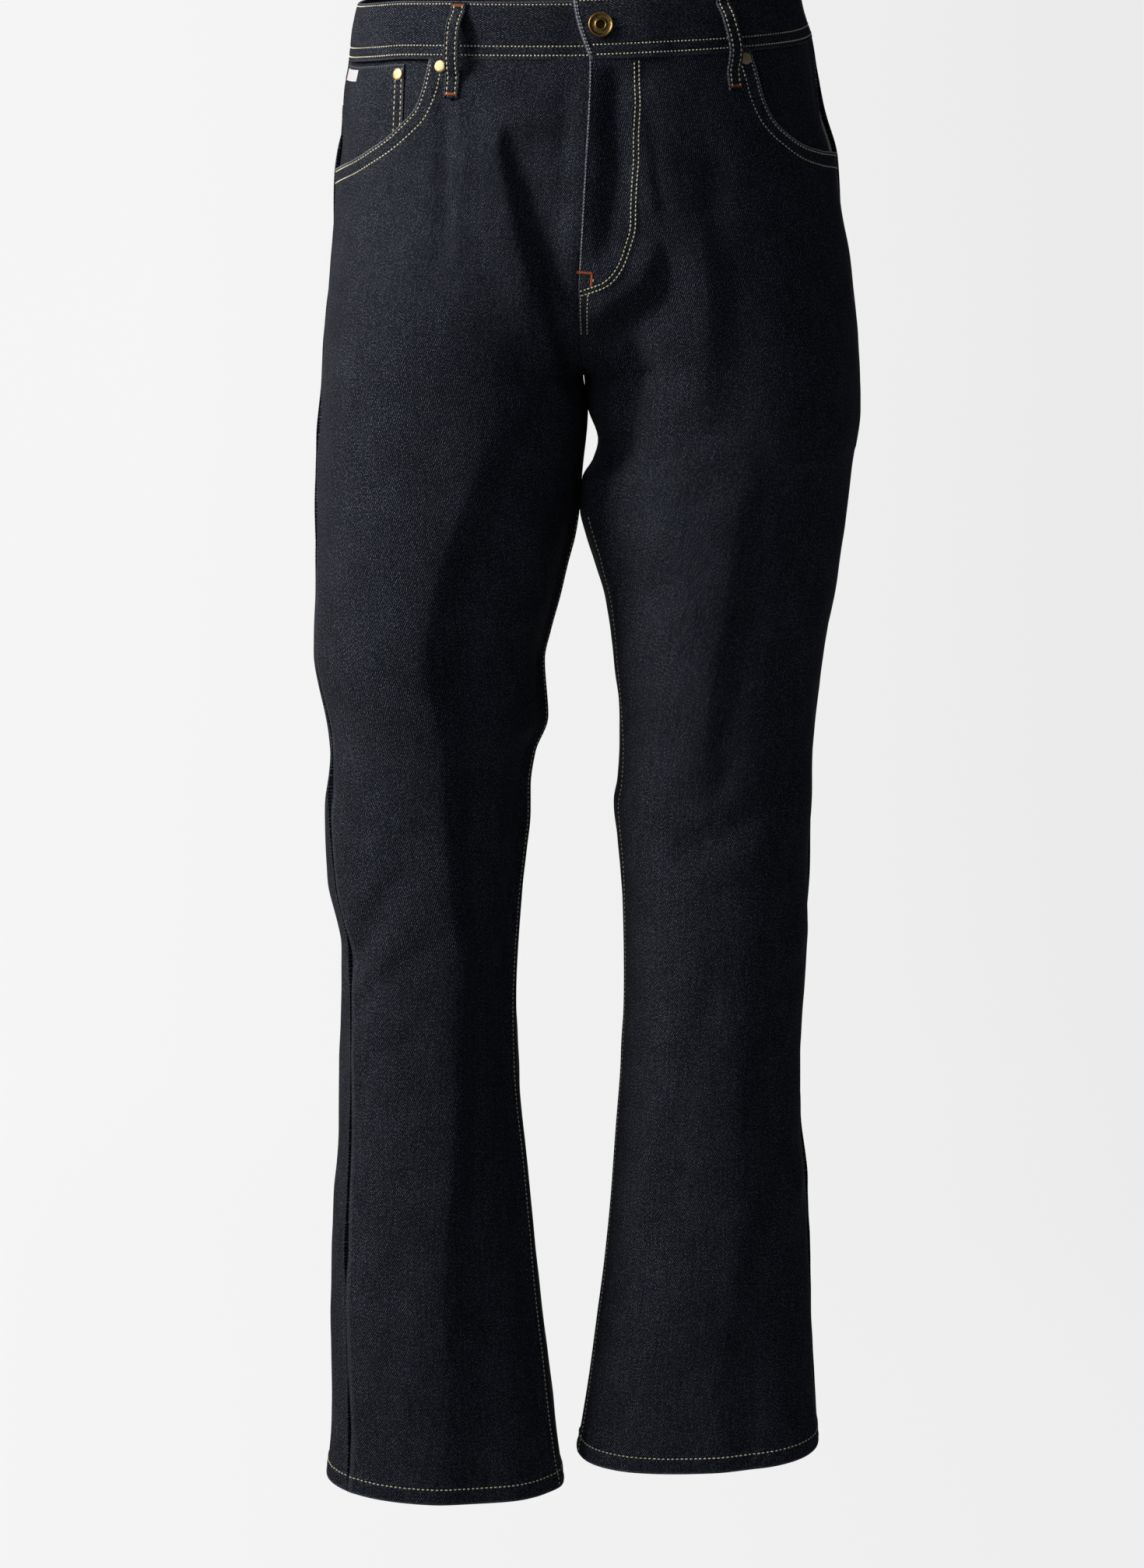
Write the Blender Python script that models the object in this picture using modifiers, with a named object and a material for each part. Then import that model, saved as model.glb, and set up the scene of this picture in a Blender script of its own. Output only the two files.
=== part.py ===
"""Straight leg jeans in their worn shape, with no wearer: thin denim walls round an open waist and two open legs.

Frame: +Z up, the garment faces -Y and the wearer's left is +X. The origin is the middle of the waist
opening, level with the top of the waistband. Words used all through:
- drop: distance below the waistband's top edge
- across: distance from the centre plane
- turn: angle round a leg, 0 at its outermost line, a quarter turn at the front, a half turn innermost
- reach: length of cloth from the outseam, plus towards the front and minus towards the back
Lengths are written in millimetres and scaled by MM.
"""

import math

import bmesh
import bpy
import numpy as np
from mathutils import Matrix, Vector

MM = 0.001

# Cloth and seams
WALL = 1.2  # one layer of 13 oz denim
SEAM_GAP = 0.3  # clear space left between neighbouring pieces
LAYER_GAP = 0.7  # clear space between pieces that lie on each other
FINE_STEP = 0.5  # step used to measure slopes of the form

# Heights, as drops below the top of the waistband
BAND_DROP = 41.0  # lower edge of the waistband
CROTCH_DROP = 277.0  # where the four leg panels meet
HEM_DROP = 1083.0  # finished leg end
HEM_DEPTH = 13.0  # turned-up hem
HEM_EXTRA = 0.6  # how much prouder and deeper the turned-up hem is on each face
YOKE_SIDE, YOKE_CENTRE = 74.0, 104.0  # yoke seam at the outseam and at the centre back
YOKE_FADE = 205.0  # drop by which the back's rows have levelled out again

# How the waist sits: it dips to the front and to the wearer's right
WAIST_DIP = 0.135  # rise per unit towards the back
WAIST_LIST = 0.053  # rise per unit towards the wearer's left
# The front of the waist also waves a little: distance from the centre plane, then how much it rises there
WAIST_WAVE_COLUMNS = ("across", "wave")
WAIST_WAVE = (
    (-170, 0.0),
    (-147, 2.4),
    (-126, 4.0),
    (-100, 3.6),
    (-70, 2.3),
    (-30, 0.5),
    (0, -0.5),
    (50, -1.3),
    (100, -1.8),
    (156, -2.0),
    (175, -1.2),
)
WAVE_REACH = 60.0  # how far in front of the side line it has grown to full size
WAVE_FADE = 70.0  # depth below the waistband over which it dies away
CENTRE_LEAN = ((0, 1.0), (BAND_DROP, 3.5), (150, -1.0), (225, -4.0), (CROTCH_DROP, 0.0))
LEAN_REACH = 70.0  # how far round the front the leaning centre line is felt

# Each leg below the crotch: leg end lower or higher than nominal, tilt of the hem, step backward
STANCE_COLUMNS = ("leg", "hem_lift", "hem_tilt_out", "hem_tilt_back", "stride")
STANCE = (
    ("right", -10.0, 0.035, 0.18, -12.0),
    ("left", 9.0, 0.035, 0.20, 8.0),
)

# Outermost line of each side, all the way down
OUTLINE_COLUMNS = ("drop", "right", "left")
OUTLINE = (
    (0, 161.5, 152.5),
    (20, 165.5, 156.5),
    (41, 168.5, 163.5),
    (62, 171.5, 167.0),
    (90, 174.0, 172.0),
    (123, 179.0, 182.5),
    (160, 180.5, 186.5),
    (205, 184.0, 194.0),
    (250, 188.5, 199.0),
    (300, 191.5, 201.5),
    (345, 195.0, 195.0),
    (390, 195.5, 189.5),
    (435, 196.0, 184.0),
    (476, 197.0, 177.0),
    (543, 186.5, 169.5),
    (590, 190.0, 167.6),
    (640, 188.0, 166.5),
    (690, 179.0, 166.0),
    (790, 180.0, 161.5),
    (835, 182.0, 162.0),
    (885, 185.5, 167.0),
    (934, 187.5, 169.0),
    (1027, 187.5, 172.5),
    (1083, 190.5, 176.5),
)

# Innermost line of each leg below the crotch; a minus sign reaches past the centre plane
INSIDE_COLUMNS = ("drop", "right", "left")
INSIDE = (
    (277, 0.3, 0.3),
    (300, -2.2, 2.8),
    (322, -1.7, 8.6),
    (345, 1.5, 4.8),
    (368, 2.6, -2.0),
    (390, 5.7, -0.4),
    (412, 11.5, 8.0),
    (435, 17.0, 16.0),
    (460, 24.0, 20.0),
    (481, 28.5, 22.0),
    (522, 26.0, 26.0),
    (548, 35.5, 27.0),
    (573, 39.0, 26.0),
    (590, 39.0, 23.5),
    (619, 42.0, 26.0),
    (645, 45.0, 28.0),
    (735, 50.0, 30.0),
    (790, 48.0, 28.0),
    (835, 43.0, 24.5),
    (885, 38.0, 21.0),
    (934, 33.5, 16.5),
    (981, 28.0, 10.5),
    (1027, 23.0, 4.5),
    (1083, 15.0, -4.5),
)

# Side view: how far the cloth stands to the front and back of the centre, and where it is widest
DEPTH_COLUMNS = ("drop", "front", "back", "widest")
DEPTH = (
    (0, 117.0, 119.0, 0.0),
    (41, 121.0, 125.0, 0.0),
    (100, 126.0, 138.0, 3.0),
    (165, 126.0, 149.0, 8.0),
    (205, 123.0, 150.0, 10.0),
    (240, 118.0, 144.0, 12.0),
    (277, 111.0, 130.0, 12.0),
    (322, 104.0, 116.0, 9.0),
    (390, 98.0, 104.0, 5.0),
    (476, 87.0, 91.0, 4.0),
    (543, 77.0, 82.0, 5.0),
    (590, 70.0, 79.0, 6.0),
    (640, 66.0, 83.0, 8.0),
    (750, 58.0, 91.0, 16.0),
    (841, 53.0, 86.0, 16.0),
    (934, 49.0, 77.0, 14.0),
    (1027, 45.0, 65.0, 10.0),
    (1083, 43.0, 58.0, 8.0),
)

# Above the crotch the two halves share one outline: 1 is a plain oval, 0 is two separate legs
JOIN_COLUMNS = ("drop", "join")
JOIN = (
    (0, 1.0),
    (45, 1.0),
    (100, 0.93),
    (150, 0.80),
    (185, 0.60),
    (215, 0.38),
    (240, 0.215),
    (258, 0.115),
    (270, 0.043),
    (277, 0.0),
)
FRONT_SQUARE = 2.3  # superellipse exponents of the sections, 2 being a true ellipse
BACK_SQUARE = 2.15

# Where the seams run round each leg, in degrees of turn away from its outermost or innermost line,
# plus towards the front
SEAM_COLUMNS = ("drop", "right_outseam", "left_outseam", "right_inseam", "left_inseam")
SEAMS = (
    (0, 0, 0, 0, 0),
    (250, 4, -4, 0, 0),
    (277, 6, -5, 0, 0),
    (345, 11, -8, 0, 12),
    (435, 16, -8, 0, 8),
    (590, 24, -8, 2, 4),
    (690, 33, -8, 6, 4),
    (1083, 38, -8, 12, 4),
)

# Front pocket mouths: the reach of the folded edge at each drop
MOUTH_COLUMNS = ("drop", "right", "left")
MOUTH = (
    (41, 121.0, 112.0),
    (57, 120.0, 111.5),
    (74, 116.5, 110.0),
    (86, 106.0, 107.0),
    (96, 94.0, 103.0),
    (104, 80.0, 96.0),
    (112, 61.0, 84.0),
    (117, 40.0, 64.0),
    (120, 20.0, 34.0),
    (122, 0.0, 0.0),
)
MOUTH_END = 122.0

# The largest folds. Each runs from its first to its second end; a minus rise is a trough. Its middle
# bows off the straight line, plus towards the centre front, or upwards on a level fold.
FOLD_COLUMNS = (
    "leg", "reach_1", "drop_1", "reach_2", "drop_2", "bow", "rise_1", "rise_2", "width_1", "width_2",
)
FOLDS = (
    ("right", 189, 92, 280, 284, -12, -3.5, -7.5, 10, 16),  # hip to crotch
    ("right", 208, 304, 150, 350, 0, -4.0, -2.5, 11, 9),  # inner thigh
    ("right", 190, 345, 214, 430, 0, -3.0, -2.0, 12, 12),
    ("right", 136, 62, 153, 185, 4, -2.5, -1.5, 8, 10),  # under the pocket mouth
    ("right", 6, 690, 62, 628, 0, -3.5, -2.5, 11, 11),  # outside of the knee
    ("right", -20, 560, 40, 598, 0, -3.0, -2.0, 11, 10),
    ("left", 272, 250, 228, 182, -4, -4.0, -1.5, 9, 8),  # crotch up to the fly
    ("left", 250, 236, 272, 352, 5, -5.0, -2.5, 10, 10),
    ("left", 215, 60, 243, 190, 0, -2.5, -2.0, 7, 8),  # along the fly
    ("left", 34, 806, 112, 1015, 14, -3.5, -3.0, 14, 16),  # calf to hem
    ("left", 70, 560, 150, 612, -6, -3.0, -2.0, 12, 12),
    ("right", -262, 262, -110, 338, -10, -6.0, -3.0, 14, 12),  # under the seat
    ("left", -262, 264, -115, 330, -12, -5.5, -3.0, 13, 13),
    ("right", -240, 312, -95, 396, -8, -4.0, -2.5, 12, 12),
    ("left", -236, 300, -120, 388, -10, -4.5, -2.0, 12, 12),
    ("right", -205, 556, -60, 576, -6, -4.5, -3.0, 11, 11),  # back of the knee
    ("left", -200, 570, -50, 590, -6, -4.0, -3.0, 11, 11),
    ("right", -196, 610, -75, 640, 6, -4.0, -2.5, 11, 11),
    ("left", -190, 626, -70, 652, 6, -4.0, -2.5, 11, 11),
    ("right", -60, 760, -130, 1010, 12, -3.0, -3.5, 15, 18),  # back of the calf
    ("left", -70, 740, -120, 980, -12, -3.0, -3.5, 15, 18),
)
SEAM_CALM = 16.0  # folds die away over this length beside the inner seams
TOP_CALM = 22.0  # and below the waistband

# Shares of a front's width used as columns, outside and inside the pocket mouth's corner, and of a back's
MOUTH_SHARES = (0.0, 0.19, 0.37, 0.53, 0.67, 0.79, 0.89, 0.96, 1.0)
CENTRE_SHARES = (0.24, 0.46, 0.66, 0.78, 0.89, 1.0)
BACK_COLUMNS = 12
UPPER_ROWS = 7  # rows between a panel's top edge and the first common level
LEVELS = (
    146, 170, 193, 214, 233, 250, 265, 277, 288, 300, 322, 345, 368, 390, 412, 435, 460, 481, 505, 522,
    548, 573, 590, 619, 650, 690, 735, 785, 835, 885, 934, 985, 1035, 1068, 1070, 1083,
)

# Waistband
BAND_GAP = 0.4
BAND_PROUD, BAND_DEPTH = 1.0, 1.6  # its faces, outside and inside the form
LAP = 1.6  # how far the upper end stands out over the lower one
LAP_START, LAP_END = 58.0, 40.0  # across, where the upper end starts and has finished stepping out
UNDERLAP = 36.0  # how far the lower end runs on under the upper one
UNDERLAP_SINK = 1.8
UNDERLAP_START, UNDERLAP_END = -28.0, -6.0
BAND_QUARTER = 14  # stations in each quarter

# Fly
FLY_WIDTH, FLY_DROP = 38.0, 212.0
FLY_RISE = 1.1  # the left front is double along the fly
FLY_EASE = 7.0
SHIELD_DROP = 214.0
SHIELD_LEFT, SHIELD_RIGHT = 4, 2  # how many of the fronts' columns it runs behind, from the centre

# Front pocket facings and the coin pocket
FACING_SHALLOW, FACING_DEEP = 2.1, 3.5  # outer face below the form, at the outseam and further in
FACING_EASE = 26.0  # reach over which it goes deep
FACING_DEEP_DROP = (60.0, 108.0)  # and the drops between which it goes deep at the outseam
FACING_PAST = 34.0  # how far it runs behind the front
FACING_BOTTOM = 156.0
FACING_ROWS, FACING_COLUMNS = 8, 9
COIN_TOP = 44.0
COIN_OUTER, COIN_INNER = 6.0, 103.0  # reach of its two sides
COIN_BOTTOM = 138.0
COIN_ROWS, COIN_COLUMNS = 7, 7
TAB_REACH, TAB_WIDTH = 12.0, 32.0
TAB_TOP, TAB_HEIGHT = 46.5, 8.5
TAB_CELLS = 4
TAB_GAP = 0.4  # over the coin pocket's slightly coarser bend
TAB_WALL = 0.5

# Back patch pockets, measured from the centre-back seam and from their own top edge
PATCH_FROM_CENTRE = 88.0
PATCH_TOP = 107.0
PATCH_TOP_SLOPE = 0.10  # the outer end sits higher
PATCH_TOP_HALF, PATCH_BOTTOM_HALF = 78.0, 67.0
PATCH_SIDE, PATCH_POINT = 130.0, 20.0
PATCH_GAP = 1.4
PATCH_CELLS = 8

# Belt loops: reach of the middle line at the top and bottom, then the height off the form down the loop
LOOP_COLUMNS = ("name", "leg", "reach_top", "reach_bottom")
LOOPS = (
    ("front_right", "right", 138.5, 144.0),
    ("front_left", "left", 122.0, 133.5),
    ("side_right", "right", -128.0, -130.0),
    ("side_left", "left", -128.0, -130.0),
)
LOOP_WIDTH, LOOP_WALL = 11.0, 2.0
LOOP_LIFT_COLUMNS = ("drop", "lift")
LOOP_LIFT = (
    (1.0, 1.4),
    (7.0, 1.4),
    (12.0, 4.6),
    (19.0, 8.0),
    (29.0, 9.0),
    (39.0, 8.4),
    (48.0, 5.2),
    (55.0, 1.2),
    (67.0, 0.8),
)

# Button and rivets
BUTTON_ACROSS, BUTTON_DROP = 9.0, 17.5
BUTTON_RADIUS, BUTTON_HOLE = 8.75, 2.4
BUTTON_PROFILE = (
    (2.4, 2.0), (2.9, 2.7), (3.9, 2.9), (5.2, 2.55), (6.6, 2.6), (7.7, 3.1), (8.45, 2.8), (8.75, 1.9),
    (8.4, 1.0), (6.0, 0.0),
)
RIVET_COLUMNS = ("name", "leg", "reach", "drop", "sink")
RIVETS = (
    ("pocket_right", "right", 131.0, 46.1, 0.0),
    ("pocket_left", "left", 118.0, 46.1, 0.0),
    ("coin_pocket", "right", 95.0, 51.2, 2.0),
)
RIVET_PROFILE = ((1.6, 1.15), (3.4, 1.0), (4.3, 0.6), (4.5, 0.0))
TURNED_STEPS = 24


def monotone_curve(x, y):
    """Cubic pieces through the points that never overshoot them: each slope is a mean of its neighbours'."""
    run = np.diff(x)
    rise = np.diff(y) / run
    slope = np.zeros_like(y)
    slope[0], slope[-1] = rise[0], rise[-1]
    same_way = rise[:-1] * rise[1:] > 0
    near, far = 2 * run[1:] + run[:-1], run[1:] + 2 * run[:-1]
    safe_before = np.where(same_way, rise[:-1], 1.0)
    safe_after = np.where(same_way, rise[1:], 1.0)
    mean = (near + far) / (near / safe_before + far / safe_after)
    slope[1:-1] = np.where(same_way, mean, 0.0)

    def at(value):
        value = np.clip(np.asarray(value, float), x[0], x[-1])
        i = np.clip(np.searchsorted(x, value, side="right") - 1, 0, len(x) - 2)
        t = (value - x[i]) / run[i]
        return (
            (1 + 2 * t) * (1 - t) ** 2 * y[i]
            + t * (1 - t) ** 2 * run[i] * slope[i]
            + t**2 * (3 - 2 * t) * y[i + 1]
            + t**2 * (t - 1) * run[i] * slope[i + 1]
        )

    return at


def curves_of(columns, rows):
    """A table's columns as smooth functions of its first one."""
    first = np.array([row[0] for row in rows], float)
    return {
        name: monotone_curve(first, np.array([row[i + 1] for row in rows], float))
        for i, name in enumerate(columns[1:])
    }


OUTLINE_AT = curves_of(OUTLINE_COLUMNS, OUTLINE)
INSIDE_AT = curves_of(INSIDE_COLUMNS, INSIDE)
DEPTH_AT = curves_of(DEPTH_COLUMNS, DEPTH)
JOIN_AT = curves_of(JOIN_COLUMNS, JOIN)["join"]
SEAM_AT = curves_of(SEAM_COLUMNS, SEAMS)
MOUTH_AT = curves_of(MOUTH_COLUMNS, MOUTH)
LEAN_AT = curves_of(("drop", "lean"), CENTRE_LEAN)["lean"]
WAVE_AT = curves_of(WAIST_WAVE_COLUMNS, WAIST_WAVE)["wave"]
LIFT_AT = curves_of(LOOP_LIFT_COLUMNS, LOOP_LIFT)["lift"]
STANCE_OF = {row[0]: dict(zip(STANCE_COLUMNS[1:], row[1:])) for row in STANCE}
SIDE = {"right": -1.0, "left": 1.0}
SQUARE = {"front": FRONT_SQUARE, "back": BACK_SQUARE}
FACE_SIGN = {"front": 1.0, "back": -1.0}


def ease(value):
    """0 below 0, 1 above 1, and a smooth step between."""
    value = np.clip(value, 0.0, 1.0)
    return value * value * (3 - 2 * value)


def signed_power(value, exponent):
    return np.sign(value) * np.abs(value) ** exponent


def leg_oval(leg, drop):
    """Centre and half-width, across, of the oval whose outer part is this half's section."""
    outer = OUTLINE_AT[leg](drop)
    inner = np.where(drop < CROTCH_DROP, -outer * JOIN_AT(drop), INSIDE_AT[leg](drop))
    return (outer + inner) / 2, (outer - inner) / 2


def plain_form(leg, turn, drop):
    """The body without folds: a superellipse for each drop, then the tilt of waist and hem."""
    turn, drop = np.broadcast_arrays(np.asarray(turn, float), np.asarray(drop, float))
    centre, half = leg_oval(leg, drop)
    c, s = np.cos(turn), np.sin(turn)
    power = np.where(s >= 0, 2 / FRONT_SQUARE, 2 / BACK_SQUARE)
    widest = DEPTH_AT["widest"](drop)
    depth = np.where(s >= 0, DEPTH_AT["front"](drop) + widest, DEPTH_AT["back"](drop) - widest)
    across = centre + half * signed_power(c, power)
    y = widest - depth * signed_power(s, power)
    x = SIDE[leg] * across
    stance = STANCE_OF[leg]
    torso = ease((CROTCH_DROP - drop) / CROTCH_DROP)
    lower = ease((drop - CROTCH_DROP) / (HEM_DROP - CROTCH_DROP))
    tilt = stance["hem_lift"] + stance["hem_tilt_out"] * (across - centre) + stance["hem_tilt_back"] * (y - widest)
    z = -drop + torso * (WAIST_LIST * x + WAIST_DIP * y) + lower * tilt
    z = z + WAVE_AT(x) * ease(-y / WAVE_REACH) * (1 - ease((drop - BAND_DROP) / WAVE_FADE))
    lean = LEAN_AT(drop) * np.exp(-((x / LEAN_REACH) ** 2)) * ease(-y / LEAN_REACH)
    x = x + np.where(drop < CROTCH_DROP, lean, 0.0)
    return np.stack([x, y + lower * stance["stride"], z], axis=-1)


def turn_at(leg, face, across, drop):
    """The turn at which the section reaches a distance from the centre plane."""
    centre, half = leg_oval(leg, drop)
    share = np.clip((across - centre) / half, -1.0, 1.0)
    return FACE_SIGN[face] * np.arccos(signed_power(share, SQUARE[face] / 2))


def inner_turn(leg, face, drop):
    """The turn of a panel's inner edge: its rise seam above the crotch, its inseam below."""
    above = turn_at(leg, face, SEAM_GAP / 2, drop)
    inseam = np.radians(SEAM_AT[leg + "_inseam"](drop))
    return np.where(drop < CROTCH_DROP, above, FACE_SIGN[face] * math.pi - inseam)


class ClothMap:
    """For one front or back: the turn of each point, given its reach and drop, and the panel's width."""

    DROP_STEP = 3.0
    SHARES = 200
    SAMPLES = 500

    def __init__(self, leg, face):
        self.leg = leg
        self.face = face
        self.drops = np.arange(0.0, HEM_DROP + self.DROP_STEP, self.DROP_STEP)
        self.widths = np.zeros(len(self.drops))
        self.turns = np.zeros((len(self.drops), self.SHARES + 1))
        shares = np.linspace(0, 1, self.SHARES + 1)
        for i, drop in enumerate(self.drops):
            outer = np.radians(SEAM_AT[leg + "_outseam"](drop))
            turns = np.linspace(outer, inner_turn(leg, face, drop), self.SAMPLES)
            steps = np.diff(plain_form(leg, turns, np.full(self.SAMPLES, drop)), axis=0)
            length = np.concatenate([[0.0], np.cumsum(np.linalg.norm(steps, axis=1))])
            self.widths[i] = length[-1]
            self.turns[i] = np.interp(shares * length[-1], length, turns)

    def width(self, drop):
        return np.interp(drop, self.drops, self.widths)

    def turn(self, reach, drop):
        """Read between the table's levels and shares."""
        reach, drop = np.broadcast_arrays(np.asarray(reach, float), np.asarray(drop, float))
        row = np.clip(drop / self.DROP_STEP, 0, len(self.drops) - 1.000001)
        column = np.clip(np.abs(reach) / self.width(drop), 0, 1) * self.SHARES
        column = np.minimum(column, self.SHARES - 0.000001)
        i, j = row.astype(int), column.astype(int)
        a, b = row - i, column - j
        upper = self.turns[i, j] * (1 - b) + self.turns[i, j + 1] * b
        lower = self.turns[i + 1, j] * (1 - b) + self.turns[i + 1, j + 1] * b
        return upper * (1 - a) + lower * a

    def plain(self, reach, drop):
        return plain_form(self.leg, self.turn(reach, drop), drop)

    def normal(self, reach, drop):
        """Outward unit normal of the plain form, from its slopes along and down the cloth."""
        along = self.plain(reach + FINE_STEP, drop) - self.plain(reach - FINE_STEP, drop)
        down = self.plain(reach, drop + FINE_STEP) - self.plain(reach, drop - FINE_STEP)
        normal = np.cross(along, down) * SIDE[self.leg]
        return normal / np.linalg.norm(normal, axis=-1, keepdims=True)

    def point(self, reach, drop, rise=0.0):
        """A point of the cloth, folds included, moved out by a rise."""
        reach, drop, rise = np.broadcast_arrays(*(np.asarray(v, float) for v in (reach, drop, rise)))
        out = rise + fold_rise(self, reach, drop)
        return self.plain(reach, drop) + self.normal(reach, drop) * out[..., None]


def fold_rise(cloth, reach, drop):
    """The sum of the folds: each is a bell across its bowed line, fading past both ends."""
    total = np.zeros_like(reach)
    for row in FOLDS:
        fold = dict(zip(FOLD_COLUMNS, row))
        if fold["leg"] != cloth.leg:
            continue
        run = fold["reach_2"] - fold["reach_1"]
        fall = fold["drop_2"] - fold["drop_1"]
        length = math.hypot(run, fall)
        u, v = reach - fold["reach_1"], drop - fold["drop_1"]
        along = (u * run + v * fall) / length**2
        t = np.clip(along, 0, 1)
        aside = (u * fall - v * run) / length - fold["bow"] * 4 * t * (1 - t)
        width = fold["width_1"] + (fold["width_2"] - fold["width_1"]) * t
        rise = fold["rise_1"] + (fold["rise_2"] - fold["rise_1"]) * t
        past = (along - t) * length
        total = total + rise * np.exp(-((aside / width) ** 2) - (past / width) ** 2)
    inner = ease((cloth.width(drop) - np.abs(reach)) / SEAM_CALM)
    top = ease((drop - BAND_DROP) / TOP_CALM)
    return total * inner * top


CLOTH = {(leg, face): ClothMap(leg, face) for leg in SIDE for face in FACE_SIGN}


def fly_rise(reach, drop, width):
    """The left front's extra layer along the fly."""
    return FLY_RISE * ease((FLY_WIDTH - (width - reach)) / FLY_EASE) * ease((FLY_DROP - drop) / FLY_EASE)


def hem_rise(drop):
    return HEM_EXTRA * ease((drop - (HEM_DROP - HEM_DEPTH) + 2) / 2)


def facing_sink(reach, drop):
    """How far the pocket facing's outer face lies below the form."""
    inward = ease(reach / FACING_EASE)
    top, bottom = FACING_DEEP_DROP
    deep = np.maximum(inward, ease((drop - top) / (bottom - top)))
    return FACING_SHALLOW + (FACING_DEEP - FACING_SHALLOW) * deep


def coin_rise(reach, drop):
    """The coin pocket's outer face, from the form."""
    return SEAM_GAP + WALL - facing_sink(reach, drop)


def material(name, colour, roughness, metallic):
    made = bpy.data.materials.new(name)
    made.use_nodes = True
    shader = made.node_tree.nodes["Principled BSDF"]
    shader.inputs["Base Color"].default_value = (*colour, 1.0)
    shader.inputs["Roughness"].default_value = roughness
    shader.inputs["Metallic"].default_value = metallic
    return made


def object_from(name, collection, finish, points, faces):
    mesh = bpy.data.meshes.new(name)
    mesh.from_pydata([tuple(point) for point in np.asarray(points) * MM], [], faces)
    work = bmesh.new()
    work.from_mesh(mesh)
    bmesh.ops.recalc_face_normals(work, faces=work.faces)
    work.to_mesh(mesh)
    work.free()
    mesh.materials.append(finish)
    made = bpy.data.objects.new(name, mesh)
    collection.objects.link(made)
    return made


def wall_from_grids(name, collection, finish, outer, inner):
    """One closed wall: an outer and an inner grid of points, triangulated alike, and a border between them."""
    rows, columns = outer.shape[:2]
    points = np.concatenate([outer.reshape(-1, 3), inner.reshape(-1, 3)])
    back = rows * columns
    faces = []
    for i in range(rows - 1):
        for j in range(columns - 1):
            a, b = i * columns + j, i * columns + j + 1
            c, d = b + columns, a + columns
            faces += [(a, b, c), (a, c, d), (a + back, c + back, b + back), (a + back, d + back, c + back)]
    rim = [j for j in range(columns)]
    rim += [i * columns + columns - 1 for i in range(1, rows)]
    rim += [(rows - 1) * columns + j for j in range(columns - 2, -1, -1)]
    rim += [i * columns for i in range(rows - 2, 0, -1)]
    for a, b in zip(rim, rim[1:] + rim[:1]):
        faces += [(a, a + back, b), (b, a + back, b + back)]
    return object_from(name, collection, finish, points, faces)


def front_cells(leg):
    """A front's reach and drop grids: columns at fixed shares, its top edge along pocket mouth and band."""
    cloth = CLOTH[leg, "front"]
    top = BAND_DROP + BAND_GAP
    mouth_drops = np.linspace(MOUTH_END, top, 200)
    mouth_shares = MOUTH_AT[leg](mouth_drops) / cloth.width(mouth_drops)
    corner = mouth_shares[-1]
    shares = [corner * share for share in MOUTH_SHARES]
    shares += [corner + (1 - corner) * share for share in CENTRE_SHARES]
    shares = np.array(shares)
    starts = np.where(shares < corner, np.interp(shares, mouth_shares, mouth_drops), top)
    upper = np.linspace(0, 1, UPPER_ROWS, endpoint=False)[:, None]
    drops = np.concatenate([
        starts + (LEVELS[0] - starts) * upper,
        np.array(LEVELS, float)[:, None] * np.ones(len(shares)),
    ])
    width = cloth.width(drops)
    reach = SEAM_GAP / 2 + shares * (width - SEAM_GAP / 2)
    reach[-len(LEVELS):, -1] -= np.where(np.array(LEVELS) < CROTCH_DROP, 0, SEAM_GAP / 2)
    return reach, drops


def front_panel(leg, collection, finish):
    cloth = CLOTH[leg, "front"]
    reach, drops = front_cells(leg)
    rise = hem_rise(drops)
    if leg == "left":
        rise = rise + fly_rise(reach, drops, cloth.width(drops))
    outer = cloth.point(reach, drops, rise)
    inner = cloth.point(reach, drops, -WALL - hem_rise(drops))
    return wall_from_grids("front_" + leg, collection, finish, outer, inner)


def yoke_drop(share):
    return YOKE_SIDE + (YOKE_CENTRE - YOKE_SIDE) * share


def back_panel(leg, collection, finish):
    """A back: from the slanting yoke seam down; its rows level out below the seat."""
    cloth = CLOTH[leg, "back"]
    shares = np.linspace(0, 1, BACK_COLUMNS + 1)
    start = YOKE_SIDE + SEAM_GAP
    upper = start + (LEVELS[0] - start) * np.linspace(0, 1, UPPER_ROWS, endpoint=False)
    levels = np.concatenate([upper, np.array(LEVELS, float)])[:, None]
    slant = (yoke_drop(shares) - YOKE_SIDE) * np.clip((YOKE_FADE - levels) / (YOKE_FADE - start), 0, 1)
    drops = levels + slant
    reach = -(SEAM_GAP / 2 + shares * (cloth.width(drops) - SEAM_GAP / 2))
    reach[:, -1] += np.where(levels[:, 0] < CROTCH_DROP, 0, SEAM_GAP / 2)
    outer = cloth.point(reach, drops, hem_rise(drops))
    inner = cloth.point(reach, drops, -WALL - hem_rise(drops))
    return wall_from_grids("back_" + leg, collection, finish, outer, inner)


def yoke(leg, collection, finish):
    cloth = CLOTH[leg, "back"]
    shares = np.linspace(0, 1, BACK_COLUMNS + 1)
    top = BAND_DROP + BAND_GAP
    drops = top + (yoke_drop(shares) - top) * np.linspace(0, 1, 4)[:, None]
    reach = -(SEAM_GAP / 2 + shares * (cloth.width(drops) - SEAM_GAP / 2))
    outer = cloth.point(reach, drops)
    inner = cloth.point(reach, drops, -WALL)
    return wall_from_grids("yoke_" + leg, collection, finish, outer, inner)


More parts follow.
